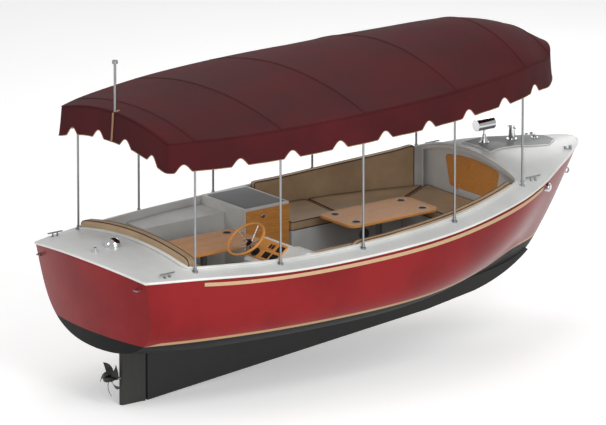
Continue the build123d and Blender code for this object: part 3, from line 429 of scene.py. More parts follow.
def gelcoatRed():
    s = hullPaint
    p = Paint("gelcoatRed", Roughness=0.3, Coat_Weight=0.04, Coat_Roughness=0.12,
              Specular_IOR_Level=0.1)
    level = p.z - (p.x * s["lineSlope"] + s["lineMidship"])
    below = level.below(0.0)
    taper = p.band(p.x, s["stripeStart"], s["stripeStart"] + s["stripeTaper"])
    stripe = level.below(taper * s["stripeHigh"]) * level.above(0.0)
    mottle = p.band(p.noise(1.3, 3.0), 0.35, 0.7)
    red = p.mix(mottle, s["red"], s["deepRed"])
    scuff = p.band(p.noise(38.0, 5.0, along=p.stretched((0.25, 0.25, 1.4))), 0.62, 0.78)
    red = p.mix(scuff * 0.08, red, srgb(168, 70, 68))
    topside = p.mix(stripe, red, s["stripe"])
    black = p.mix(p.noise(9.0, 6.0), s["bottom"], srgb(22, 23, 22))
    p.colour(p.mix(below, topside, black))
    p.rough(0.3 + below * 0.28 + scuff * 0.12 + stripe * 0.12)
    fine = p.noise(700.0, 2.0) * below + p.noise(26.0, 2.0) * 0.35
    p.bump(fine, 0.05, 0.002)
    return p.material


def satinBlack():
    p = Paint("satinBlack", Roughness=0.5)
    blotch = p.noise(7.0, 6.0)
    p.colour(p.mix(blotch, srgb(12, 12, 12), srgb(30, 30, 29)))
    p.rough(0.42 + blotch * 0.25)
    p.bump(p.noise(240.0, 4.0), 0.12, 0.001)
    return p.material


def charcoalCasting():
    p = Paint("charcoalCasting", Roughness=0.5, Specular_IOR_Level=0.4)
    blotch = p.noise(11.0, 6.0)
    p.colour(p.mix(blotch, srgb(40, 40, 38), srgb(58, 58, 55)))
    p.rough(0.45 + blotch * 0.2)
    p.bump(p.noise(420.0, 3.0) + p.noise(60.0, 3.0) * 0.5, 0.16, 0.0008)
    return p.material


def gelcoatWhite(name="gelcoatWhite", light=srgb(226, 226, 221), dark=srgb(206, 207, 203)):
    p = Paint(name, Roughness=0.3, Coat_Weight=0.3, Coat_Roughness=0.12)
    tone = p.band(p.noise(2.2, 4.0), 0.3, 0.75)
    specks = p.band(p.noise(160.0, 3.0), 0.66, 0.74)
    p.colour(p.mix(specks * 0.25, p.mix(tone, light, dark), srgb(176, 176, 170)))
    p.rough(0.24 + p.noise(14.0, 4.0) * 0.16)
    p.bump(p.noise(55.0, 3.0), 0.03, 0.002)
    return p.material


def deckGelcoat():
    # white mouldings, and a grey non-slip field on the raised foredeck panel
    p = Paint("deckGelcoat", Roughness=0.35, Coat_Weight=0.15, Coat_Roughness=0.15)
    half = 0.205 - p.band(p.x, 2.42, 2.60) * 0.115
    field = p.y.size().below(half) * p.x.above(1.715) * p.x.below(2.59)
    tone = p.band(p.noise(2.2, 4.0), 0.3, 0.75)
    white = p.mix(tone, srgb(218, 219, 217), srgb(204, 206, 205))
    turn = (0, 0, math.radians(45))
    diamonds = p.band(p.wave(42.0, "X", 0.0, p.stretched((1, 1, 1), turn))
                      * p.wave(42.0, "Y", 0.0, p.stretched((1, 1, 1), turn)), 0.2, 0.55)
    grey = p.mix(diamonds * 0.5 + p.noise(3.5, 5.0) * 0.4, srgb(134, 136, 137), srgb(162, 164, 165))
    p.colour(p.mix(field, white, grey))
    p.rough(0.3 + field * 0.35 + p.noise(14.0, 4.0) * 0.14)
    p.bump(diamonds * field + p.noise(55.0, 3.0) * 0.1, 0.3, 0.0012)
    return p.material


def nonSkid(name, light, dark):
    # moulded diamonds, worn smoother in patches
    p = Paint(name, Roughness=0.55)
    a = p.wave(42.0, "X", 0.0, p.stretched((1, 1, 1), (0, 0, math.radians(45))))
    b = p.wave(42.0, "Y", 0.0, p.stretched((1, 1, 1), (0, 0, math.radians(45))))
    diamonds = p.band(a * b, 0.2, 0.55)
    wear = p.noise(3.5, 5.0)
    p.colour(p.mix(diamonds * 0.45 + wear * 0.4, dark, light))
    p.rough(0.72 - diamonds * 0.12 - wear * 0.1)
    p.bump(diamonds + p.noise(900.0, 2.0) * 0.2, 0.35, 0.0012)
    return p.material


woodTones = {"pale": srgb(234, 168, 92), "main": srgb(220, 150, 76), "dark": srgb(172, 104, 46),
             "plank": 0.062}


def varnishedWood(name="varnishedWood", turn=(0, 0, 0), plank=True):
    s = woodTones
    p = Paint(name, Roughness=0.4, Coat_Weight=0.22, Coat_Roughness=0.2, Specular_IOR_Level=0.3)
    grain = p.noise(9.0, 8.0, 0.6, p.stretched((0.9, 11.0, 11.0), turn), 0.8)
    pores = p.noise(70.0, 3.0, 0.6, p.stretched((0.6, 16.0, 16.0), turn))
    figure = p.mix(p.band(grain, 0.3, 0.72), s["dark"], s["pale"])
    colour = p.mix(0.55, figure, s["main"])
    colour = p.mix(p.band(pores, 0.6, 0.75) * 0.45, colour, s["dark"])
    height = grain * 0.3 - p.band(pores, 0.6, 0.75) * 0.4
    if plank:
        across = p.node("SeparateXYZ", {}, {0: p.stretched((1, 1, 1), turn)})
        strip = Value(p, across.outputs[1]) / s["plank"]
        near = (strip - Value(p, p.node("Math", {"operation": "ROUND"}, {0: strip}).outputs[0])).size()
        seam = near.below(0.012)
        step = Value(p, p.node("TexWhiteNoise", {"noise_dimensions": "1D"}, {
            "W": Value(p, p.node("Math", {"operation": "FLOOR"},
                                 {0: strip + 0.5}).outputs[0])}).outputs[0])
        colour = p.mix(step * 0.28, colour, s["pale"])
        colour = p.mix(seam * 0.75, colour, srgb(96, 52, 22))
        height = height - seam * 0.6
    p.colour(colour)
    p.rough(0.36 + grain * 0.15)
    p.bump(height, 0.12, 0.0008)
    return p.material


def vinyl(name, light, dark, fold=1.0):
    p = Paint(name, Roughness=0.5, Specular_IOR_Level=0.35)
    tone = p.band(p.noise(3.0, 5.0), 0.3, 0.72)
    grain = p.cells(420.0, "DISTANCE_TO_EDGE")
    crease = p.noise(16.0, 5.0, 0.6, None, 1.2)
    colour = p.mix(tone, dark, light)
    colour = p.mix((1 - p.band(grain, 0.02, 0.12)) * 0.22, colour, dark)
    p.colour(p.mix(p.band(crease, 0.62, 0.8) * 0.2 * fold, colour, light))
    p.rough(0.44 + tone * 0.1 + crease * 0.08)
    p.bump(p.band(grain, 0.0, 0.25) * 0.5 + crease * 0.9 * fold, 0.22, 0.0015)
    return p.material


def canvas(name, light, dark, pitch=520.0):
    # woven acrylic: two crossing threads, faded in patches
    p = Paint(name, Roughness=0.9, Sheen_Weight=0.03, Sheen_Roughness=0.5, Specular_IOR_Level=0.12)
    warpThread = p.wave(pitch, "X")
    weftThread = p.wave(pitch, "Y")
    hangThread = p.wave(pitch, "Z")
    weave = warpThread * 0.4 + weftThread * 0.35 + hangThread * 0.25
    fade = p.band(p.noise(1.6, 5.0), 0.3, 0.75)
    slub = p.noise(60.0, 4.0, 0.6, p.stretched((0.4, 5.0, 5.0)))
    colour = p.mix(fade, dark, light)
    colour = p.mix(weave * 0.22, colour, dark)
    p.colour(p.mix(p.band(slub, 0.6, 0.8) * 0.18, colour, light))
    p.rough(0.78 + fade * 0.12)
    p.bump(weave + p.noise(22.0, 4.0) * 1.6, 0.25, 0.0012)
    return p.material


def polished(name, tint, least=0.14, brush=0.0):
    p = Paint(name, Metallic=1.0, Roughness=least)
    smear = p.noise(12.0, 5.0)
    p.colour(p.mix(smear, tint, tuple(0.8 * v for v in tint[:3]) + (1.0,)))
    lines = p.noise(90.0, 3.0, 0.5, p.stretched((6.0, 6.0, 0.3)))
    p.rough(least + smear * 0.12 + lines * brush)
    p.bump(lines, 0.02 + brush * 0.1, 0.0004)
    return p.material


def moulded(name, light, dark, base=0.45):
    p = Paint(name, Roughness=base, Specular_IOR_Level=0.45)
    grain = p.noise(600.0, 3.0)
    tone = p.noise(20.0, 4.0)
    p.colour(p.mix(tone, dark, light))
    p.rough(base + tone * 0.14)
    p.bump(grain, 0.12, 0.0005)
    return p.material


looks = {
    "hull": gelcoatRed(), "deck": deckGelcoat(), "keel": satinBlack(), "leg": charcoalCasting(),
    "white": gelcoatWhite(),
    "liner": gelcoatWhite("linerWhite", srgb(220, 221, 218), srgb(202, 203, 201)),
    "deckSkid": nonSkid("deckSkid", srgb(190, 191, 189), srgb(164, 165, 164)),
    "topSkid": nonSkid("topSkid", srgb(150, 151, 153), srgb(118, 120, 123)),
    "soleSkid": nonSkid("soleSkid", srgb(176, 178, 178), srgb(150, 152, 153)),
    "wood": varnishedWood(), "woodUp": varnishedWood("woodUpright", (math.radians(90), 0, 0), False),
    "woodDoor": varnishedWood("woodDoor", (0, 0, math.radians(90)), False),
    "rimWood": varnishedWood("rimWood", (0.4, 0.2, 0.3), False),
    "seat": vinyl("seatVinyl", srgb(190, 164, 130), srgb(168, 142, 112)),
    "piping": vinyl("pipingVinyl", srgb(92, 52, 42), srgb(66, 36, 30), 0.3),
    "canvas": canvas("burgundyCanvas", srgb(78, 24, 28), srgb(62, 18, 22)),
    "binding": canvas("tanBinding", srgb(176, 140, 108), srgb(148, 114, 86), 900.0),
    "thread": canvas("seamThread", srgb(70, 26, 28), srgb(50, 18, 20), 1500.0),
    "stainless": polished("stainless", (0.36, 0.37, 0.38, 1), 0.24, 0.12),
    "chrome": polished("chrome", (0.78, 0.79, 0.8, 1), 0.06),
    "anodised": polished("anodised", (0.36, 0.37, 0.39, 1), 0.34, 0.1),
    "black": moulded("mouldedBlack", srgb(30, 30, 31), srgb(18, 18, 19)),
    "strake": moulded("tanStrake", srgb(196, 162, 124), srgb(178, 144, 108), 0.4),
    "grille": moulded("grilleGrey", srgb(150, 151, 152), srgb(128, 130, 131)),
    "prop": moulded("propBlack", srgb(28, 28, 27), srgb(14, 14, 14), 0.34),
    "motor": moulded("motorEnamel", srgb(120, 128, 136), srgb(98, 106, 114), 0.35),
    "bronze": polished("bronze", (0.55, 0.36, 0.16, 1), 0.3, 0.1),
    "battery": moulded("batteryCase", srgb(38, 38, 42), srgb(24, 24, 27)),
}
print("materials:", len(looks))


# Geometry Nodes: small parts set out along a path or on marked points

def settingTree(name, look):
    # stands one small capsule or screw head on every point, turned to its "facing" attribute
    tree = bpy.data.node_groups.new(name, "GeometryNodeTree")
    face = tree.interface
    face.new_socket("Geometry", in_out="INPUT", socket_type="NodeSocketGeometry")
    inputs = {}
    for label, start in (("Radius", 0.004), ("Height", 0.003), ("Lengthen", 1.0)):
        made = face.new_socket(label, in_out="INPUT", socket_type="NodeSocketFloat")
        made.default_value = start
        inputs[label] = made.identifier
    sidesSocket = face.new_socket("Sides", in_out="INPUT", socket_type="NodeSocketInt")
    sidesSocket.default_value = 10
    inputs["Sides"] = sidesSocket.identifier
    face.new_socket("Geometry", in_out="OUTPUT", socket_type="NodeSocketGeometry")
    n = tree.nodes
    link = tree.links.new
    given = n.new("NodeGroupInput")
    out = n.new("NodeGroupOutput")
    drum = n.new("GeometryNodeMeshCylinder")
    link(given.outputs["Sides"], drum.inputs["Vertices"])
    link(given.outputs["Radius"], drum.inputs["Radius"])
    link(given.outputs["Height"], drum.inputs["Depth"])
    facing = n.new("GeometryNodeInputNamedAttribute")
    facing.data_type = "FLOAT_VECTOR"
    facing.inputs[0].default_value = "facing"
    along = n.new("GeometryNodeInputNamedAttribute")
    along.data_type = "FLOAT_VECTOR"
    along.inputs[0].default_value = "along"
    first = n.new("FunctionNodeAlignEulerToVector")
    first.axis = "Z"
    link(facing.outputs[0], first.inputs["Vector"])
    second = n.new("FunctionNodeAlignEulerToVector")
    second.axis = "X"
    second.pivot_axis = "Z"
    link(first.outputs[0], second.inputs["Rotation"])
    link(along.outputs[0], second.inputs["Vector"])
    scale = n.new("ShaderNodeCombineXYZ")
    link(given.outputs["Lengthen"], scale.inputs[0])
    scale.inputs[1].default_value = 1.0
    scale.inputs[2].default_value = 1.0
    put = n.new("GeometryNodeInstanceOnPoints")
    link(given.outputs["Geometry"], put.inputs["Points"])
    link(drum.outputs["Mesh"], put.inputs["Instance"])
    link(second.outputs[0], put.inputs["Rotation"])
    link(scale.outputs[0], put.inputs["Scale"])
    real = n.new("GeometryNodeRealizeInstances")
    link(put.outputs[0], real.inputs[0])
    dress = n.new("GeometryNodeSetMaterial")
    dress.inputs["Material"].default_value = look
    link(real.outputs[0], dress.inputs["Geometry"])
    link(dress.outputs[0], out.inputs[0])
    return tree, inputs


def setOut(name, spots, look, body, sizes):
    # spots is a list of (place, facing, along)
    mesh = bpy.data.meshes.new(name)
    mesh.from_pydata([tuple(s[0]) for s in spots], [], [])
    for index, label in ((1, "facing"), (2, "along")):
        attribute = mesh.attributes.new(label, "FLOAT_VECTOR", "POINT")
        attribute.data.foreach_set("vector", [v for s in spots for v in s[index]])
    piece = bpy.data.objects.new(name, mesh)
    bpy.context.scene.collection.objects.link(piece)
    tree, inputs = settingTree(name + "Tree", looks[look])
    modifier = piece.modifiers.new("set", "NODES")
    modifier.node_group = tree
    for label, value in sizes.items():
        modifier[inputs[label]] = value
    applyModifiers(piece)
    piece.data.polygons.foreach_set("use_smooth", [False] * len(piece.data.polygons))
    return finished(piece, body, looks[look])


def screws(name, spots, body, radius=0.0045, height=0.003):
    return setOut(name, [(p, f, (1, 0, 0) if abs(Vector(f).x) < 0.9 else (0, 1, 0)) for p, f in spots],
                  "stainless", body, {"Radius": radius, "Height": height, "Sides": 12})


def stitches(name, runs, pitch, look, body="boat"):
    # a run is a list of (point, normal) pairs, already evenly spaced at the pitch
    spots = []
    for run in runs:
        for (a, n), (b, _) in zip(run, run[1:]):
            spots.append(((a + b) / 2, n, (b - a).normalized()))
    sizes = {"Radius": pitch * 0.16, "Height": 0.0012, "Lengthen": 2.2, "Sides": 6}
    return setOut(name, spots, look, body, sizes)


# CAD nodes that keep their shape, with softened edges

def dressed(node, look, bevel=0.0, name=None, flat=0.8, segments=3, angle=34):
    piece = mergedCopy(node, name or node + "Shell", flat)
    if bevel:
        m = piece.modifiers.new("edges", "BEVEL")
        m.width = bevel
        m.segments = segments
        m.limit_method = "ANGLE"
        m.angle_limit = math.radians(angle)
        m.harden_normals = True
        m.use_clamp_overlap = True
        applyModifiers(piece)
    return finished(piece, nodeBody[node], looks[look], [node])


# node: (look, bevel in metres)
softEdges = {
    "keel_skeg": ("keel", 0.006), "rudder_leg": ("leg", 0.005), "cabinet_door": ("woodUp", 0.003),
    "bulkhead_door": ("woodDoor", 0.004),
    "table_aft_top": ("wood", 0.007), "table_fore_top": ("wood", 0.007),
    "helm_console": ("white", 0.010),
    "cabinet_body": ("white", 0.010), "seat_bases": ("liner", 0.010), "dash_panel": ("woodUp", 0.003),
}
for node, (look, bevel) in softEdges.items():
    dressed(node, look, bevel)

plainLooks = {
    "hull_shell": "hull", "deck_moulding": "deck", "cockpit_liner": "liner", "cockpit_sole": "soleSkid",
    "forward_bulkhead": "liner",
    "rudder_tube": "bronze", "drive_shaft": "stainless", "prop_shaft": "stainless",
    "rudder_stock": "stainless",
    "tiller_arm": "anodised", "drive_motor": "motor", "batteries": "battery",
    "steering_column": "black",
    "throttle_base": "stainless", "canopy_posts": "stainless", "canopy_frame": "stainless",
    "stern_light": "stainless",
    "table_aft_leg": "anodised", "table_fore_leg": "anodised", "table_aft_cups": "stainless",
    "table_fore_cups": "stainless",
    "table_sockets": "anodised", "transom_eyes": "stainless", "bow_eye": "stainless",
    "samson_post": "chrome",
    "flag_sockets": "chrome", "sidelights": "chrome", "rub_strakes": "strake",
    "searchlight_base": "chrome",
    "searchlight_yoke": "chrome", "searchlight_head": "chrome", "rocker_lights": "black",
    "rocker_pump": "black",
    "gauge_cluster": "black", "speaker_grille": "grille", "wheel_rim": "rimWood", "wheel_hub": "chrome",
    "mooring_fittings": "stainless", "cowl_vent": "chrome", "throttle_lever": "chrome",
    "propeller": "prop",
}


def paintNode(node, look):
    piece = frame["nodes"][node]
    if not piece.data.materials:
        piece.data.materials.append(looks[look])
    piece.material_slots[0].link = "OBJECT"
    for place in piece.material_slots:
        place.link = "OBJECT"
        place.material = looks[look]


for node, look in plainLooks.items():
    paintNode(node, look)
print("CAD nodes dressed")


# canopy: one roof sheet over the bows, and a scalloped valance hung from its edge

canopy = {
    "rows": 200, "columns": 84, "sag": 0.011, "thick": 0.0022, "edgeDrop": 0.004, "seamWide": 0.026,
    "seamHigh": 0.0014,
    "deep": 0.279, "flare": 0.020, "ripple": 0.004, "notchDeep": 0.074, "notchHalf": 0.088,
    "notchRound": 0.62,
    "sidePitch": 0.530, "sideFirst": 0.135, "aftPitch": 0.42, "binding": 0.0042,
}


def canopyOutline():
    # half breadth of the roof against distance, and the front arc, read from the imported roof
    low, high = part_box("canopy_roof")
    run = max((r for r in sharpLoops("canopy_roof", 50)), key=runLength)
    edge = sorted((p for p in run if p.y > 0.0), key=lambda p: p.x)
    return low.x, high.x, edge


roofAft, roofFore, roofEdge = canopyOutline()
cornerX = max((p.x for p in roofEdge if p.y > 0.52), default=roofFore - 0.2)
edgeX = np.array([p.x for p in roofEdge])
edgeY = np.array([p.y for p in roofEdge])
print("roof outline:", round(roofAft, 3), round(roofFore, 3), round(cornerX, 3), len(roofEdge))
bowPlaces = sorted({round(p, 2) for p in [-2.60, -2.36, -1.506, -0.576, 0.568, 1.615, 2.140]})


def halfBreadth(x):
    return float(np.interp(x, edgeX, edgeY))


def noseX(y):
    # where the front edge lies at a breadth
    front = [(abs(p.y), p.x) for p in roofEdge if p.x >= cornerX - 0.001]
    front.sort()
    ys = [f[0] for f in front] + [halfBreadth(cornerX)]
    xs = [f[1] for f in front] + [cornerX]
    return float(np.interp(abs(y), ys, xs)) if front else cornerX


def roofPlace(u, v):
    straight = roofAft + u * (cornerX - roofAft)
    y = v * halfBreadth(straight)
    reach = noseX(v * halfBreadth(cornerX)) - cornerX
    return straight + reach * smooth((u - 0.55) / 0.45), y


def roofHeight(x, y):
    z = topOf("canopy_roof", x, y)
    if z is None:
        near = treeOf("canopy_roof").find_nearest(Vector((x, y, 2.0)))
        z = near[0].z
    return z


def sagAt(x):
    # the cloth hangs a little between bows, and stays tight at its edge
    for a, b in zip(bowPlaces, bowPlaces[1:]):
        if a <= x <= b:
            t = (x - a) / (b - a)
            return canopy["sag"] * min(1.0, (b - a) / 0.9) * (4 * t * (1 - t)) ** 0.8
    return 0.0


def roofSheet():
    c = canopy
    points, faces = [], []
    n = c["columns"] + 1
    for i in range(c["rows"] + 1):
        for k in range(n):
            u = i / c["rows"]
            v = -math.cos(math.pi * k / c["columns"]) * 0.35 + (2 * k / c["columns"] - 1) * 0.65
            x, y = roofPlace(u, v)
            z = roofHeight(x * 0.9995, y * 0.9985)
            tight = 1 - abs(v) ** 6
            z -= sagAt(x) * tight
            z += 0.0035 * noise.noise(Vector((x * 2.3, y * 2.0, 4.0))) * tight
            points.append((x, y, z - 0.001))
    for i in range(c["rows"]):
        for k in range(n - 1):
            a = i * n + k
            faces.append((a, a + n, a + n + 1, a + 1))
    piece = newMesh("canopyTop", points, faces)
    return piece


def thicken(piece, depth):
    m = piece.modifiers.new("cloth", "SOLIDIFY")
    m.thickness = depth
    m.offset = -1
    applyModifiers(piece)
    piece.data.polygons.foreach_set("use_smooth", [True] * len(piece.data.polygons))
    return piece


roof = roofSheet()
roofTree = BVHTree.FromPolygons([v.co.copy() for v in roof.data.vertices],
                                [tuple(p.vertices) for p in roof.data.polygons])


def onRoof(x, y, lift=0.0):
    hit = roofTree.ray_cast(Vector((x, y, 4.0)), Vector((0, 0, -1)))
    if hit[0] is None:
        near = roofTree.find_nearest(Vector((x, y, 2.0)))
        return near[0] + near[1] * lift, near[1]
    normal = hit[1] if hit[1].z > 0 else -hit[1]
    return hit[0] + normal * lift, normal


def perimeter(step=0.011):
    # the canopy's edge in plan, as (point, outward) pairs from the aft centre round the port side and back
    port = [Vector((roofAft, y, 0)) for y in np.linspace(0, halfBreadth(roofAft) - 0.001, 12)]
    port += [Vector((x, halfBreadth(x), 0)) for x in np.linspace(roofAft + 0.01, cornerX - 0.002, 150)]
    port += [Vector((noseX(y), y, 0)) for y in np.linspace(halfBreadth(cornerX), 0, 24)]
    loop = port + [Vector((p.x, -p.y, 0)) for p in reversed(port[1:-1])]
    loop = spaced(loop, step, True)
    loop = softened(loop, 5, True)
    loop = softened(loop, 5, True)
    out = []
    for i, p in enumerate(loop):
        way = (loop[(i + 1) % len(loop)] - loop[i - 1]).normalized()
        away = Vector((-way.y, way.x, 0))
        if away.dot(p - Vector((-0.2, 0, 0))) < 0:
            away = -away
        out.append((p, away))
    return out


edgeLoop = perimeter()


def notchMarks():
    # places of the rounded notches along the canopy's edge
    c = canopy
    wanted = []
    for side in (1, -1):
        for k in range(9):
            x = roofAft + c["sideFirst"] + k * c["sidePitch"]
            wanted.append(Vector((x, side * halfBreadth(x), 0)))
        wanted.append(Vector((roofAft, side * 0.5 * c["aftPitch"], 0)))
        wanted.append(Vector((roofAft, side * 1.5 * c["aftPitch"], 0)))
        wanted.append(Vector((noseX(0.22), side * 0.22, 0)))
    return wanted


notches = notchMarks()


def dropAt(p):
    # how far the valance hangs below the eave at a place
    c = canopy
    near = min((p - n).length for n in notches)
    t = min(near / c["notchHalf"], 1.0)
    rise = (0.5 + 0.5 * math.cos(math.pi * t)) ** c["notchRound"] if t < 1 else 0.0
    return c["deep"] - c["notchDeep"] * rise


def valanceSheet():
    c = canopy
    rows = 12
    points, faces, foot, eave = [], [], [], []
    count = len(edgeLoop)
    travelled = 0.0
    for i, (p, away) in enumerate(edgeLoop):
        travelled += (p - edgeLoop[i - 1][0]).length if i else 0.0
        top, _ = onRoof(p.x - away.x * 0.004, p.y - away.y * 0.004)
        drop = dropAt(p)
        eaveZ = top.z - c["edgeDrop"]
        for r in range(rows + 1):
            t = r / rows
            bulge = c["flare"] * (t ** 1.5) * (drop / c["deep"])
            wave = c["ripple"] * t * (math.sin(travelled * 9.0) + 0.6 * math.sin(travelled * 23.0 + 1.0))
            shoulder = 0.0035 * (1 - math.exp(-t * 22))
            where = p + away * (bulge + wave + shoulder)
            points.append((where.x, where.y, eaveZ - drop * t))
        foot.append(Vector(points[-1]))
        eave.append(Vector(points[-(rows + 1)]))
    for i in range(count):
        j = (i + 1) % count
        for r in range(rows):
            a, b = i * (rows + 1) + r, j * (rows + 1) + r
            faces.append((a, b, b + 1, a + 1))
    return newMesh("canopyValance", points, faces), foot, eave


valance, valanceFoot, valanceEave = valanceSheet()
perimeterLong = runLength([p for p, _ in edgeLoop])
thicken(roof, canopy["thick"])
thicken(valance, canopy["thick"])
outward(valance)
finished(roof, "boat", looks["canvas"], ["canopy_roof"])
finished(valance, "boat", looks["canvas"], ["canopy_valance"])

binding = sweep("valanceBinding", valanceFoot, roundProfile(canopy["binding"], 8), True)
finished(binding, "boat", looks["binding"])
eavePiping = sweep("eavePiping", valanceEave, roundProfile(0.0042, 8), True)
finished(eavePiping, "boat", looks["canvas"])


def crossSeam(x, name):
    # a flat-felled seam over a bow
    c = canopy
    half = halfBreadth(x) - 0.004
    path = [onRoof(x, y, c["seamHigh"])[0] for y in np.linspace(-half, half, 90)]
    w = c["seamWide"] / 2
    profile = [(-w, -0.001), (w, -0.001), (w, 0.0006), (w * 0.8, c["seamHigh"]),
               (-w * 0.8, c["seamHigh"]), (-w, 0.0006)]
    return sweep(name, path, profile)


seamPieces = [crossSeam(x, f"seamStrip{i}") for i, x in enumerate(bowPlaces[1:])]
seams = joined("canopySeams", seamPieces)
finished(seams, "boat", looks["canvas"])
stitchRuns = []
for x in bowPlaces[1:]:
    half = halfBreadth(x) - 0.01
    for offset in (-0.008, 0.008):
        count = round(2 * half / 0.016)
        stitchRuns.append([onRoof(x + offset, y,
                                  canopy["seamHigh"] * 2 + 0.0004) for y in np.linspace(-half, half,
                                                                                        count)])
stitches("canopyStitches", stitchRuns, 0.016, "thread")


def aftStrap():
    # a webbing strap from the pole's foot over the aft edge, down the valance
    low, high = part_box("stern_light")
    poleX = (low.x + high.x) / 2
    path = [onRoof(x, 0.0, 0.003)[0] for x in np.linspace(poleX + 0.05, roofAft + 0.006, 10)]
    middle = min(range(len(edgeLoop)), key=lambda i: edgeLoop[i][0].x * 10 + abs(edgeLoop[i][0].y))
    p = edgeLoop[middle][0]
    top = path[-1].z - 0.004
    for t in np.linspace(0.05, 1.0, 14):
        out = canopy["flare"] * t ** 1.5 + 0.009
        path.append(Vector((p.x - out, 0.0, top - canopy["deep"] * t)))
    return ribbon("aftStrap", path, 0.026, 0.002)


def ribbon(name, path, wide, thick):
    # a flat strap in the centre plane
    points, faces = [], []
    for i, p in enumerate(path):
        way = (path[min(i + 1, len(path) - 1)] - path[max(i - 1, 0)]).normalized()
        out = Vector((way.z, 0, -way.x))
        if out.x > 0 and abs(way.z) > 0.5 or (abs(way.z) <= 0.5 and out.z < 0):
            out = -out
        for side, depth in ((-1, 0), (1, 0), (1, 1), (-1, 1)):
            points.append(p + Vector((0, side * wide / 2, 0)) + out * thick * depth)
    for i in range(len(path) - 1):
        a, b = i * 4, i * 4 + 4
        faces += [(a + k, a + (k + 1) % 4, b + (k + 1) % 4, b + k) for k in range(4)]
    faces += [(0, 1, 2, 3), tuple(len(points) - 4 + k for k in (3, 2, 1, 0))]
    return outward(newMesh(name, points, faces, sharp=40))


strap = aftStrap()
finished(strap, "boat", looks["binding"])


# cushions and backrests

padSizes = {"corner": 0.020, "piping": 0.0058, "cap": 0.010}


def sectionPoints(w, h, r, nw, nh):
    # a rounded rectangle from its inner foot, up, across, down and back; corners at the quarter points
    r = min(r, w * 0.45, h * 0.45)

    def corner(cx, cy, start, count):
        return [(cx + r * math.cos(a), cy + r * math.sin(a)) for a in np.linspace(start,
                start - math.pi / 2, count)]

    arc = 5
    out = []
    foot = corner(r, r, -math.pi / 2, arc)
    out += foot[arc // 2:]
    out += [(0, y) for y in np.linspace(r, h - r, nh + 1)[1:-1]]
    top = corner(r, h - r, math.pi, arc)
    out += top
    c1 = len(out) - 1 - arc // 2
    out += [(x, h) for x in np.linspace(r, w - r, nw + 1)[1:-1]]
    far = corner(w - r, h - r, math.pi / 2, arc)
    out += far
    c2 = len(out) - 1 - arc // 2
    out += [(w, y) for y in np.linspace(h - r, r, nh + 1)[1:-1]]
    low = corner(w - r, r, 0, arc)
    out += low
    c3 = len(out) - 1 - arc // 2
    out += [(x, 0) for x in np.linspace(w - r, r, nw + 1)[1:-1]]
    out += foot[:arc // 2]
    return out, (0, c1, c2, c3)


def makePad(name, inner, outer, low, high, stations, across, upright, corner=None):
    # inner and outer give plan points, low and high give heights, for u from 0 to 1
    s = padSizes
    radius = corner or s["corner"]
    length = sum((Vector(inner((i + 1) / 40)) - Vector(inner(i / 40))).length for i in range(40))
    marks = [radius * (1 - math.cos(math.pi * i / 8)) / length for i in range(4)]
    body = list(np.linspace(marks[-1] + radius * 0.3 / length, 1 - marks[-1] - radius * 0.3 / length,
                            stations))
    us = marks + body + [1 - m for m in reversed(marks)]
    rings = []
    for u in us:
        end = min(u, 1 - u) * length
        inset = radius - math.sqrt(max(radius ** 2 - max(radius - end, 0) ** 2,
                                       0.0)) if end < radius else 0.0
        a, b = Vector(inner(u)), Vector(outer(u))
        z0, z1 = low(u), high(u)
        w = (b - a).length
        way = (b - a).normalized()
        shape, marksAt = sectionPoints(w - 2 * inset, z1 - z0 - 2 * inset, max(radius - inset, 0.002),
                                       across, upright)
        ring = [(a.x + way.x * (x + inset), a.y + way.y * (x + inset), z0 + y + inset) for x,
                y in shape]
        rings.append(ring)
    n = len(rings[0])
    points = [p for ring in rings for p in ring]
    faces = []
    for j in range(len(rings) - 1):
        for k in range(n):
            m = (k + 1) % n
            faces.append((j * n + k, j * n + m, (j + 1) * n + m, (j + 1) * n + k))
    for ringIndex in (0, len(rings) - 1):
        points, more = capGrid(points, ringIndex * n, n, marksAt)
        faces += more
    piece = newMesh(name, points, faces)
    bm = bmesh.new()
    bm.from_mesh(piece.data)
    bmesh.ops.recalc_face_normals(bm, faces=bm.faces)
    bm.to_mesh(piece.data)
    bm.free()
    return piece, n, len(rings), marksAt


def capGrid(points, base, n, corners):
    # fills an end with a grid between its four sides
    c0, c1, c2, c3 = corners
    left = [base + k for k in range(c0, c1 + 1)]
    top = [base + k for k in range(c1, c2 + 1)]
    right = [base + k for k in range(c2, c3 + 1)]
    bottom = [base + k % n for k in range(c3, n + 1)]
    rows, columns = len(left) - 1, len(top) - 1
    grid = {}
    for i in range(rows + 1):
        grid[(i, 0)] = left[i]
        grid[(i, columns)] = right[rows - i]
    for k in range(columns + 1):
        grid[(rows, k)] = top[k]
        grid[(0, k)] = bottom[columns - k]
    at = lambda key: Vector(points[grid[key]])
    for i in range(1, rows):
        for k in range(1, columns):
            s, t = k / columns, i / rows
            across = at((i, 0)).lerp(at((i, columns)), s)
            up = at((0, k)).lerp(at((rows, k)), t)
            flat = at((0, 0)).lerp(at((0, columns)), s).lerp(at((rows, 0)).lerp(at((rows, columns)), s),
                                                             t)
            points.append(tuple(across + up - flat))
            grid[(i, k)] = len(points) - 1
    faces = [(grid[(i, k)], grid[(i, k + 1)], grid[(i + 1, k + 1)], grid[(i + 1, k)])
             for i in range(rows) for k in range(columns)]
    return points, faces


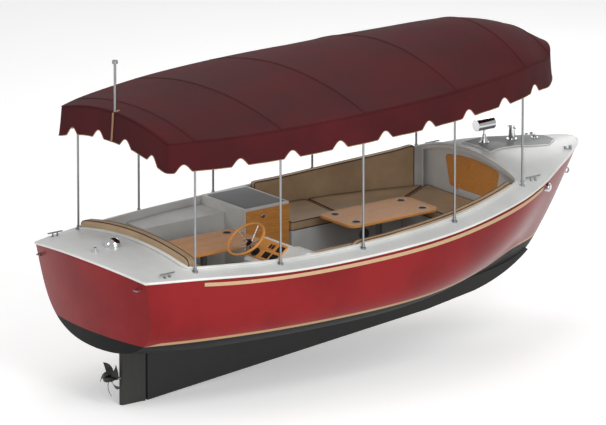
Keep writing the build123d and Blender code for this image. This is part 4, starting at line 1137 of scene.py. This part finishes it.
def inflate(piece, pressure, cap, steady=None):
    # cloth simulation of the cover over its filling, with each point's travel capped
    rest = [v.co.copy() for v in piece.data.vertices]
    cloth = piece.modifiers.new("cover", "CLOTH")
    cloth.settings.quality = 5
    cloth.settings.mass = 0.4
    cloth.settings.tension_stiffness = 12
    cloth.settings.compression_stiffness = 12
    cloth.settings.shear_stiffness = 6
    cloth.settings.bending_stiffness = 2.0
    cloth.settings.use_pressure = True
    cloth.settings.uniform_pressure_force = pressure
    cloth.settings.effector_weights.gravity = 0
    cloth.collision_settings.use_collision = False
    cloth.point_cache.frame_start = 1
    cloth.point_cache.frame_end = 20
    scene = bpy.context.scene
    for f in range(1, 21):
        scene.frame_set(f)
    ready = piece.evaluated_get(bpy.context.evaluated_depsgraph_get())
    ended = [v.co.copy() for v in ready.data.vertices]
    piece.modifiers.clear()
    scene.frame_set(1)
    for v, a, b in zip(piece.data.vertices, rest, ended):
        move = b - a
        if move.length > cap:
            move *= cap / move.length
        v.co = a + move * (1.0 if steady is None else steady(a))
    piece.data.update()
    return piece


def buttonDents(piece, buttons, reach, deep):
    # pulls the cover in round each button
    for v in piece.data.vertices:
        for spot, facing in buttons:
            d = v.co - spot
            inward = d.dot(facing)
            if inward < -0.03:
                continue
            flat = (d - facing * inward).length
            if flat < reach:
                t = 1 - flat / reach
                v.co -= facing * deep * (t ** 2.2)
    piece.data.update()


def pipingLoops(piece, n, rings, corners, pairs, name):
    # beads along two longitudinal edges and across both ends
    co = [v.co.copy() for v in piece.data.vertices]
    pieces = []
    for number, (first, second) in enumerate(pairs):
        a, b = corners[first], corners[second]
        span = list(range(a, b + 1)) if b > a else list(range(a, b + n + 1))
        startRing, endRing = 2, rings - 3
        path = [co[j * n + a] for j in range(startRing, endRing + 1)]
        path += [co[endRing * n + k % n] for k in span[1:-1]]
        path += [co[j * n + b % n] for j in range(endRing, startRing - 1, -1)]
        path += [co[startRing * n + k % n] for k in reversed(span[1:-1])]
        path = softened(spaced(path, 0.014, True), 2, True)
        pieces.append(tube(f"{name}Bead{number}", path, padSizes["piping"]))
    return pieces


def tube(name, path, radius, closed=True, sides=8):
    # a round bead that doesn't twist where its path turns upright
    points = []
    count = len(path)
    way = (path[1] - path[0]).normalized()
    side = way.orthogonal().normalized()
    for i, p in enumerate(path):
        way = (path[(i + 1) % count] - path[i - 1]).normalized() if closed or 0 < i < count - 1 else way
        side = (side - way * side.dot(way)).normalized()
        other = way.cross(side)
        for k in range(sides):
            a = 2 * math.pi * k / sides
            points.append(p + side * radius * math.cos(a) + other * radius * math.sin(a))
    faces = []
    shift = 0
    if closed:
        # the last ring may be turned against the first, so it is matched by the nearest point
        first = points[0]
        lastBase = (count - 1) * sides
        shift = min(range(sides), key=lambda k: (points[lastBase + k] - first).length)
    for i in range(count if closed else count - 1):
        j = (i + 1) % count
        for k in range(sides):
            m = (k + 1) % sides
            if j == 0:
                faces.append((i * sides + (k + shift) % sides, i * sides + (m + shift) % sides,
                              j * sides + m, j * sides + k))
            else:
                faces.append((i * sides + k, i * sides + m, j * sides + m, j * sides + k))
    if not closed:
        faces.append(tuple(reversed(range(sides))))
        faces.append(tuple((count - 1) * sides + k for k in range(sides)))
    return outward(newMesh(name, points, faces))


def smoothPad(piece):
    m = piece.modifiers.new("round", "SUBSURF")
    m.levels = 1
    m.render_levels = 1
    return applyModifiers(piece)


seatLow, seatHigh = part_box("cushion_port")
seatInset = 0.004


def lerp2(a, b, t):
    return (a[0] + (b[0] - a[0]) * t, a[1] + (b[1] - a[1]) * t, 0.0)


def outerAt(node, x, z, side):
    y = sideOf(node, x, z, side)
    return y if y is not None else side * 0.7


def seatPads():
    z = (seatLow.z + seatHigh.z) / 2
    portBox, bowBox, starBox, aftBox = (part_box(n) for n in ("cushion_port", "cushion_bow",
                                                            "cushion_starboard", "cushion_aft"))
    innerPort = portBox[0].y + seatInset
    innerStar = starBox[1].y - seatInset
    cornerIn = (bowBox[0].x, innerPort)
    cornerInStar = (bowBox[0].x, innerStar)
    foreX = bowBox[1].x - 0.004
    outPort = outerAt("cushion_port", foreX - 0.02, z, 1)
    outStar = outerAt("cushion_starboard", foreX - 0.02, z, -1)
    splitX = 0.37
    made = []

    def side(name, sideSign, aftX, foreInner, foreOuterX, aftSlant, inner, node):
        # a straight inner edge, and an outer edge that follows the hull
        def innerAt(u):
            return (aftX + (foreInner - aftX) * u, inner, 0.0)

        def outerEdge(u):
            x = (aftX + aftSlant) + (foreOuterX - aftX - aftSlant) * u
            y = outerAt(node, min(max(x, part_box(node)[0].x + 0.03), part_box(node)[1].x - 0.03), z,
                        sideSign)
            return (x, y - sideSign * seatInset, 0.0)
        return name, innerAt, outerEdge, node

    made.append(side("cushionPortAft", 1, portBox[0].x + 0.002, splitX - 0.035, splitX + 0.035, 0.0,
                     innerPort, "cushion_port"))
    made.append(side("cushionPortFore", 1, splitX - 0.029, cornerIn[0] - 0.004, portBox[1].x - 0.012,
                     0.070, innerPort, "cushion_port"))
    made.append(side("cushionStarboardAft", -1, starBox[0].x + 0.002, splitX - 0.035, splitX + 0.035,
                     0.0, innerStar, "cushion_starboard"))
    made.append(side("cushionStarboardFore", -1, splitX - 0.029, cornerInStar[0] - 0.004,
                     starBox[1].x - 0.012, 0.070, innerStar, "cushion_starboard"))
    return made, (cornerIn, cornerInStar, foreX, outPort, outStar, aftBox)


def coverAndPiping(name, piece, n, rings, corners, pairs, node, pressure=4.0, cap=None,
                   steady=None):
    inflate(piece, pressure, cap or padSizes["cap"], steady)
    beads = pipingLoops(piece, n, rings, corners, pairs, name)
    smoothPad(piece)
    finished(piece, nodeBody[node], looks["seat"], [node])
    bead = joined(name + "Piping", beads)
    finished(bead, nodeBody[node], looks["piping"])
    return piece


def crownOnly(lowZ, highZ):
    # a seat cushion is flat where it rests on its base
    return lambda p: 0.15 + 0.85 * smooth((p.z - lowZ) / (highZ - lowZ))


seatRest = crownOnly(seatLow.z, seatHigh.z)
sideCushions, cornersOf = seatPads()
for name, innerAt, outerEdge, node in sideCushions:
    piece, n, rings, corners = makePad(name, innerAt, outerEdge, lambda u: seatLow.z + 0.001,
                                       lambda u: seatHigh.z - 0.006, 30, 14, 4)
    coverAndPiping(name, piece, n, rings, corners, [(1, 2), (3, 0)], node, steady=seatRest)

cornerIn, cornerInStar, foreX, outPort, outStar, aftBox = cornersOf


def bowInner(u):
    return lerp2((cornerIn[0] + 0.004, cornerIn[1] - 0.006),
                 (cornerInStar[0] + 0.004, cornerInStar[1] + 0.006), u)


def bowOuter(u):
    return lerp2((foreX - seatInset, outPort - 0.004), (foreX - seatInset, outStar + 0.004), u)


piece, n, rings, corners = makePad("cushionBow", bowInner, bowOuter, lambda u: seatLow.z + 0.001,
                                   lambda u: seatHigh.z - 0.006, 30, 16, 4)
coverAndPiping("cushionBow", piece, n, rings, corners, [(1, 2), (3, 0)], "cushion_bow",
               steady=seatRest)


def aftPlan(x, side):
    y = sideOf("cushion_aft", x, (seatLow.z + seatHigh.z) / 2, side)
    return y if y is not None else side * 0.9


aftFront = aftBox[1].x - seatInset
aftBack = aftBox[0].x + seatInset
frontHalf = aftPlan(aftFront - 0.03, 1) - 0.006
backHalf = aftPlan(aftBack + 0.03, 1) - 0.006
piece, n, rings, corners = makePad(
    "cushionAft", lambda u: lerp2((aftFront, frontHalf), (aftFront, -frontHalf), u),
    lambda u: lerp2((aftBack, backHalf), (aftBack, -backHalf), u),
    lambda u: seatLow.z + 0.001, lambda u: seatHigh.z - 0.006, 44, 16, 4)
coverAndPiping("cushionAft", piece, n, rings, corners, [(1, 2), (3, 0)], "cushion_aft",
               steady=seatRest)

backSizes = {"corner": 0.019, "buttonPitch": 0.46, "buttonReach": 0.20, "buttonDeep": 0.012,
             "buttonHigh": 0.60}


def backrest(name, node, side, roundEnd):
    low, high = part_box(node)
    x0, x1 = low.x + 0.004, high.x - 0.004
    z = low.z + 0.12

    def face(u, outside):
        x = x0 + (x1 - x0) * u
        sample = min(max(x, low.x + 0.012), high.x - 0.012)
        y = sideOf(node, sample, z, side, outside)
        return (x, y + side * (-0.003 if outside else 0.003), 0.0)

    def top(u):
        x = x0 + (x1 - x0) * u
        sample = min(max(x, low.x + 0.012), high.x - 0.012)
        middle = (face(u, True)[1] + face(u, False)[1]) / 2
        height = topOf(node, sample, middle) - 0.006
        end = min(u, 1 - u) * (x1 - x0)
        if roundEnd and end < roundEnd:
            height -= roundEnd * 0.9 * (1 - math.sqrt(1 - (1 - end / roundEnd) ** 2))
        return height

    piece, n, rings, corners = makePad(name, lambda u: face(u, False), lambda u: face(u, True),
                                       lambda u: low.z + 0.002, top,
                                       60, 3, 14, backSizes["corner"])
    buttons = []
    length = x1 - x0
    count = max(2, round(length / backSizes["buttonPitch"]))
    for k in range(count):
        u = (k + 0.5) / count
        a, b = Vector(face(max(u - 0.01, 0), False)), Vector(face(min(u + 0.01, 1), False))
        way = (b - a).normalized()
        facing = Vector((-way.y, way.x, 0)) * (-1 if side > 0 else 1)
        if facing.y * side > 0:
            facing = -facing
        spot = Vector(face(u, False))
        spot.z = low.z + (top(u) - low.z) * backSizes["buttonHigh"]
        buttons.append((spot, facing))
    inflate(piece, 5.0, 0.008)
    buttonDents(piece, buttons, backSizes["buttonReach"], backSizes["buttonDeep"])
    beads = pipingLoops(piece, n, rings, corners, [(0, 1), (2, 3)], name)
    smoothPad(piece)
    finished(piece, "boat", looks["seat"], [node])
    bead = joined(name + "Piping", beads)
    finished(bead, "boat", looks["piping"])
    tops = []
    for i, (spot, facing) in enumerate(buttons):
        centre = spot - facing * (backSizes["buttonDeep"] * 0.85)
        outline = [(0.0005, 0.0055), (0.007, 0.005), (0.0115, 0.0025), (0.0125, 0.0), (0.010, -0.003)]
        tops.append(turned(f"{name}Button{i}", outline, centre, facing, 20))
    caps = joined(name + "Buttons", tops)
    finished(caps, "boat", looks["piping"])


backrest("backrestPort", "backrest_port", 1, 0.0)
backrest("backrestStarboard", "backrest_starboard", -1, 0.085)


def aftBackrest():
    node = "backrest_aft"
    low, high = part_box(node)
    front, back = high.x - 0.003, low.x + 0.003
    z = low.z + 0.1
    half = sideOf(node, (front + back) / 2, z, 1) - 0.006

    def top(u):
        y = half * (1 - 2 * u)
        sample = min(max(y, -half + 0.02), half - 0.02)
        height = topOf(node, (front + back) / 2, sample) - 0.006
        end = min(u, 1 - u) * 2 * half
        reach = 0.07
        if end < reach:
            height -= reach * 0.8 * (1 - math.sqrt(1 - (1 - end / reach) ** 2))
        return height

    piece, n, rings, corners = makePad(
        "backrestAft", lambda u: (front, half * (1 - 2 * u), 0.0),
        lambda u: (back, half * (1 - 2 * u), 0.0),
        lambda u: low.z + 0.002, top, 60, 3, 14, backSizes["corner"])
    inflate(piece, 5.0, 0.008)
    buttons = []
    for k in range(4):
        u = (k + 0.5) / 4
        spot = Vector((front, half * (1 - 2 * u), low.z + (top(u) - low.z) * backSizes["buttonHigh"]))
        buttons.append((spot, Vector((1, 0, 0))))
    buttonDents(piece, buttons, backSizes["buttonReach"], backSizes["buttonDeep"])
    beads = pipingLoops(piece, n, rings, corners, [(0, 1), (2, 3)], "backrestAft")
    smoothPad(piece)
    finished(piece, "boat", looks["seat"], [node])
    bead = joined("backrestAftPiping", beads)
    finished(bead, "boat", looks["piping"])
    tops = [turned(f"aftButton{i}", [(0.0005, 0.0055), (0.007, 0.005), (0.0115, 0.0025), (0.0125, 0.0),
                                     (0.010, -0.003)],
                   spot - facing * (backSizes["buttonDeep"] * 0.85), facing, 20) for i,
                   (spot, facing) in enumerate(buttons)]
    caps = joined("backrestAftButtons", tops)
    finished(caps, "boat", looks["piping"])


aftBackrest()
print("cushions and backrests made")


# mouldings: beads on the deck's edge, the coaming and the foredeck panel

moulding = {"gunwale": 0.0125, "coaming": 0.0098, "panel": 0.0055}


def meanHeight(run):
    return sum(p.z for p in run) / len(run)


def deckBeads():
    # rounded beads on the deck's outer edge, round the coaming and on the foredeck panel
    runs = [r for r in sharpLoops("deck_moulding", 45) if runLength(r) > 1.6]
    outer = max((r for r in runs if runLength(r) > 13), key=meanHeight)
    coaming = sorted((r for r in runs if 10 < runLength(r) < 13), key=meanHeight)[-2:]
    panel = max((r for r in runs if runLength(r) < 4), key=meanHeight, default=None)
    made = []
    for label, run, radius, sink in (("gunwale", outer, moulding["gunwale"], 0.007),
                                     ("coamingA", coaming[0], moulding["coaming"], 0.006),
                                     ("coamingB", coaming[1], moulding["coaming"], 0.006),
                                     ("panel", panel, moulding["panel"], 0.003)):
        if run is None:
            continue
        closed = (run[0] - run[-1]).length < 0.05
        path = [p - Vector((0, 0, sink)) for p in softened(spaced(run, 0.035, closed), 1, closed)]
        made.append(tube(label + "Tube", path, radius, closed, 8))
    return joined("deckBeads", made)


finished(deckBeads(), "boat", looks["white"])

def propellerBlades():
    # five raked blades with curved tips, each a thin cambered shell on the hub
    blade = {"count": 5, "root": 0.030, "chord": 0.088, "skew": 42.0, "pitchRoot": 42.0,
             "pitchTip": 20.0, "thick": 0.007,
             "spans": 16, "chords": 8}
    b = blade
    low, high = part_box("propeller")
    centre = Vector(((low.x + high.x) / 2, (low.y + high.y) / 2, (low.z + high.z) / 2))
    reach = (high.z - low.z) / 2 - 0.002
    made = []
    for k in range(b["count"]):
        points, faces = [], []
        for side in (1, -1):
            for i in range(b["spans"] + 1):
                t = i / b["spans"]
                r = b["root"] * 0.8 + (reach - b["root"] * 0.8) * t
                chord = b["chord"] * (0.42 + 1.15 * t * (1 - t) * 1.6) * (1 - t ** 5) + 0.003
                pitch = math.radians(b["pitchRoot"] + (b["pitchTip"] - b["pitchRoot"]) * t)
                skew = math.radians(b["skew"]) * t ** 1.8
                for m in range(b["chords"] + 1):
                    c = m / b["chords"] - 0.5
                    thick = b["thick"] * (1 - 0.75 * t) * (1 - (2 * c) ** 2) * side * 0.5 + 0.006 * (1 - (2 * c) ** 2)
                    across = c * chord
                    angle = 2 * math.pi * k / b["count"] + skew + across * math.cos(pitch) / max(r,
                                                                                                 0.02)
                    x = -across * math.sin(pitch) + thick * math.cos(pitch)
                    x = min(max(x, low.x - centre.x + 0.004), high.x - centre.x - 0.004)
                    points.append(centre + Vector((x, r * math.sin(angle), r * math.cos(angle))))
        n = b["chords"] + 1
        size = (b["spans"] + 1) * n
        for side in (0, 1):
            for i in range(b["spans"]):
                for m in range(b["chords"]):
                    a = side * size + i * n + m
                    faces.append((a, a + 1, a + n + 1, a + n) if side else (a, a + n, a + n + 1, a + 1))
        rim = [i * n for i in range(b["spans"] + 1)] + [b["spans"] * n + m for m in range(1, n)]
        rim += [i * n + n - 1 for i in range(b["spans"] - 1, -1, -1)] + [m for m in range(n - 2, 0, -1)]
        for i, a in enumerate(rim):
            c = rim[(i + 1) % len(rim)]
            faces.append((a, c, c + size, a + size))
        made.append(outward(newMesh(f"blade{k}", points, faces)))
    hub = [(0.004, low.x - centre.x + 0.001), (0.022, low.x - centre.x + 0.004),
           (0.031, low.x - centre.x + 0.022), (0.034, 0.0), (0.033, 0.024),
           (0.026, min(0.036, high.x - centre.x - 0.001))]
    made.append(turned("propHub", hub, centre, (1, 0, 0), 32))
    return joined("propellerBlades", made)


finished(propellerBlades(), "propeller", looks["prop"], ["propeller"])


def postFeet():
    # round flanges on the deck, four screws in each, and a collar on each post
    places = {"screwRing": 0.019}
    feet, spots = [], []
    mesh = frame["nodes"]["canopy_posts"].data
    groups = []
    for v in mesh.vertices:
        if v.co.z < 1.1:
            near = next((g for g in groups if (g[0] - Vector((v.co.x, v.co.y, 0))).length < 0.12), None)
            if near is None:
                groups.append([Vector((v.co.x, v.co.y, 0)), [v.co.copy()]])
            else:
                near[1].append(v.co.copy())
    for number, (_, members) in enumerate(groups):
        middle = Vector((sum(p.x for p in members) / len(members),
                         sum(p.y for p in members) / len(members), 0))
        low = topOf("deck_moulding", middle.x, middle.y + (0.024 if middle.y < 0 else -0.024))
        if low is None:
            continue
        base = Vector((middle.x, middle.y, low + 0.004))
        feet.append(turned(f"collar{number}", [(0.0125, 0.014), (0.0165, 0.015), (0.0172, 0.024),
                                               (0.0155, 0.032), (0.0125, 0.033)], base, (0, 0, 1), 24))
        for k in range(4):
            angle = math.pi / 4 + k * math.pi / 2
            x, y = middle.x + places["screwRing"] * math.cos(angle), middle.y + places["screwRing"] * math.sin(angle)
            z = topOf("canopy_posts", x, y, 1.2)
            if z is not None and z < 1.1:
                spots.append((Vector((x, y, z + 0.0006)), (0, 0, 1)))
    finished(joined("postCollars", feet), "boat", looks["stainless"])
    if spots:
        screws("postScrews", spots, "boat", 0.0034, 0.002)
    print("post feet:", len(feet), "screws:", len(spots))


postFeet()


def grilleHoles():
    # black discs in rings on the round speaker cover, standing for its perforations: painted shade in the holes, over
    # the dark speaker behind
    low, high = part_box("speaker_grille")
    middle = (low + high) / 2
    spots = [(Vector((middle.x, low.y - 0.0006, middle.z)), (0, -1, 0), (1, 0, 0))]
    for ring in range(1, 9):
        for k in range(6 * ring):
            angle = 2 * math.pi * k / (6 * ring)
            spots.append((Vector((middle.x + ring * 0.0058 * math.cos(angle), low.y - 0.0006,
                                  middle.z + ring * 0.0058 * math.sin(angle))),
                          (0, -1, 0), (1, 0, 0)))
    # the black discs are painted shade for holes that are not cut
    return setOut("grilleHoles", spots, "black", "boat",
                  {"Radius": 0.0018, "Height": 0.0014, "Sides": 8})


grilleHoles()


def topPad(name, node, inset, lift, look, clip=None):
    # a non-slip pad that follows a node's flat top
    low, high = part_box(node)
    if clip:
        low, high = Vector(clip[0]), Vector(clip[1])
    nx, ny = 24, 24
    xs = np.linspace(low.x + inset, high.x - inset, nx)
    ys = np.linspace(low.y + inset, high.y - inset, ny)
    grid, points, faces = {}, [], []
    for i, x in enumerate(xs):
        for k, y in enumerate(ys):
            z = topOf(node, float(x), float(y), high.z + 0.05)
            near = [topOf(node, float(x) + dx, float(y) + dy, high.z + 0.05) for dx,
                    dy in ((inset, 0), (-inset, 0), (0, inset), (0, -inset))]
            if z is None or high.z - z > 0.03 or any(q is None or high.z - q > 0.03 for q in near):
                continue
            points.append((float(x), float(y), z + lift))
            grid[(i, k)] = len(points) - 1
    for i in range(nx - 1):
        for k in range(ny - 1):
            keys = [(i, k), (i + 1, k), (i + 1, k + 1), (i, k + 1)]
            if all(q in grid for q in keys):
                faces.append(tuple(grid[q] for q in keys))
    piece = newMesh(name, points, faces)
    m = piece.modifiers.new("mat", "SOLIDIFY")
    m.thickness = lift
    m.offset = -1
    applyModifiers(piece)
    return finished(piece, "boat", looks[look])


topPad("cabinetPad", "cabinet_body", 0.028, 0.0016, "topSkid")


def latchAndRim():
    # the plate of the cabinet door's latch, and the rim round the searchlight's glass
    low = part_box("cabinet_door")[0]
    spot = Vector((low.x + 0.176, low.y + 0.001, 0.600))
    plate = turned("latchPlate", [(0.019, -0.001), (0.0195, 0.001), (0.017, 0.0026), (0.011, 0.0028)],
                   spot - Vector((0, 0.008, 0)), (0, -1, 0), 28)
    finished(plate, "cabinet_door", looks["chrome"])
    headLow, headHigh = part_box("searchlight_head")
    centre = (headLow + headHigh) / 2
    ring = [(0.036, -0.006), (0.047, -0.006), (0.0485, 0.0), (0.046, 0.004), (0.038, 0.003)]
    rim = turned("lampRim", ring, (headHigh.x - 0.004, centre.y, centre.z), (1, 0, 0), 40)
    finished(rim, "searchlight_head", looks["chrome"])


latchAndRim()
print("trim made")

# camera, light, floor

view = {"azimuth": -36.344, "elevation": 16.512, "distance": 100.0, "lens": 634.5, "right": 0.019966,
        "up": 0.010703}


def setCamera():
    a, e = math.radians(view["azimuth"]), math.radians(view["elevation"])
    right = Vector((math.cos(a), math.sin(a), 0))
    up = Vector((-math.sin(a) * math.sin(e), math.cos(a) * math.sin(e), math.cos(e)))
    back = Vector((math.sin(a) * math.cos(e), -math.cos(a) * math.cos(e), math.sin(e)))
    data = bpy.data.cameras.new("viewCamera")
    data.sensor_width = 36
    data.lens = view["lens"]
    data.clip_start = 1.0
    data.clip_end = 400.0
    camera = bpy.data.objects.new("viewCamera", data)
    bpy.context.scene.collection.objects.link(camera)
    camera.location = Vector((-2.9, 0, 0)) + back * view["distance"]
    look = (-back + right * view["right"] + up * view["up"]).normalized()
    camera.rotation_mode = "QUATERNION"
    camera.rotation_quaternion = look.to_track_quat("-Z", "Y")
    bpy.context.scene.camera = camera


def areaLight(name, place, target, size, power, tint=(1, 1, 1)):
    data = bpy.data.lights.new(name, "AREA")
    data.shape = "DISK"
    data.size = size
    data.energy = power
    data.color = tint
    lamp = bpy.data.objects.new(name, data)
    bpy.context.scene.collection.objects.link(lamp)
    lamp.location = place
    lamp.rotation_mode = "QUATERNION"
    lamp.rotation_quaternion = (Vector(target) - Vector(place)).to_track_quat("-Z", "Y")


def setStage():
    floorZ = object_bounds()[0].z - 0.002
    n = 24
    size = 60.0
    points = [((i / n - 0.5) * size, (k / n - 0.5) * size,
               floorZ) for i in range(n + 1) for k in range(n + 1)]
    faces = [(i * (n + 1) + k, (i + 1) * (n + 1) + k, (i + 1) * (n + 1) + k + 1, i * (n + 1) + k + 1)
             for i in range(n) for k in range(n)]
    floor = newMesh("studioFloor", points, faces)
    p = Paint("studioFloorPaper", Roughness=0.9, Specular_IOR_Level=0.1)
    p.colour(p.mix(p.noise(0.6, 3.0), srgb(246, 246, 246), srgb(240, 240, 240)))
    p.shader.inputs["Emission Color"].default_value = (1, 1, 1, 1)
    p.shader.inputs["Emission Strength"].default_value = 0.32
    floor.data.materials.append(p.material)
    world = bpy.data.worlds.new("softSky")
    world.use_nodes = True
    tree = world.node_tree
    sky = tree.nodes["Background"]
    sky.inputs[0].default_value = (1.0, 1.0, 1.0, 1)
    sky.inputs[1].default_value = 0.5
    bpy.context.scene.world = world
    areaLight("keyLight", (-3.5, -9.5, 8.5), (0, 0, 0.4), 6.0, 620)
    areaLight("cockpitFill", (-3.5, -7.0, 2.6), (0.3, 0, 0.5), 3.5, 110)
    areaLight("fillLight", (-11.0, 4.0, 5.0), (-1, 0, 0.6), 5.0, 120)
    areaLight("topLight", (2.0, 2.5, 11.0), (0, 0, 0.5), 7.0, 330)
    areaLight("rimLight", (9.0, 7.0, 6.0), (1, 0, 0.6), 5.0, 160)
    bpy.context.scene.view_settings.view_transform = "Standard"
    bpy.context.scene.view_settings.look = "None"


setCamera()
setStage()
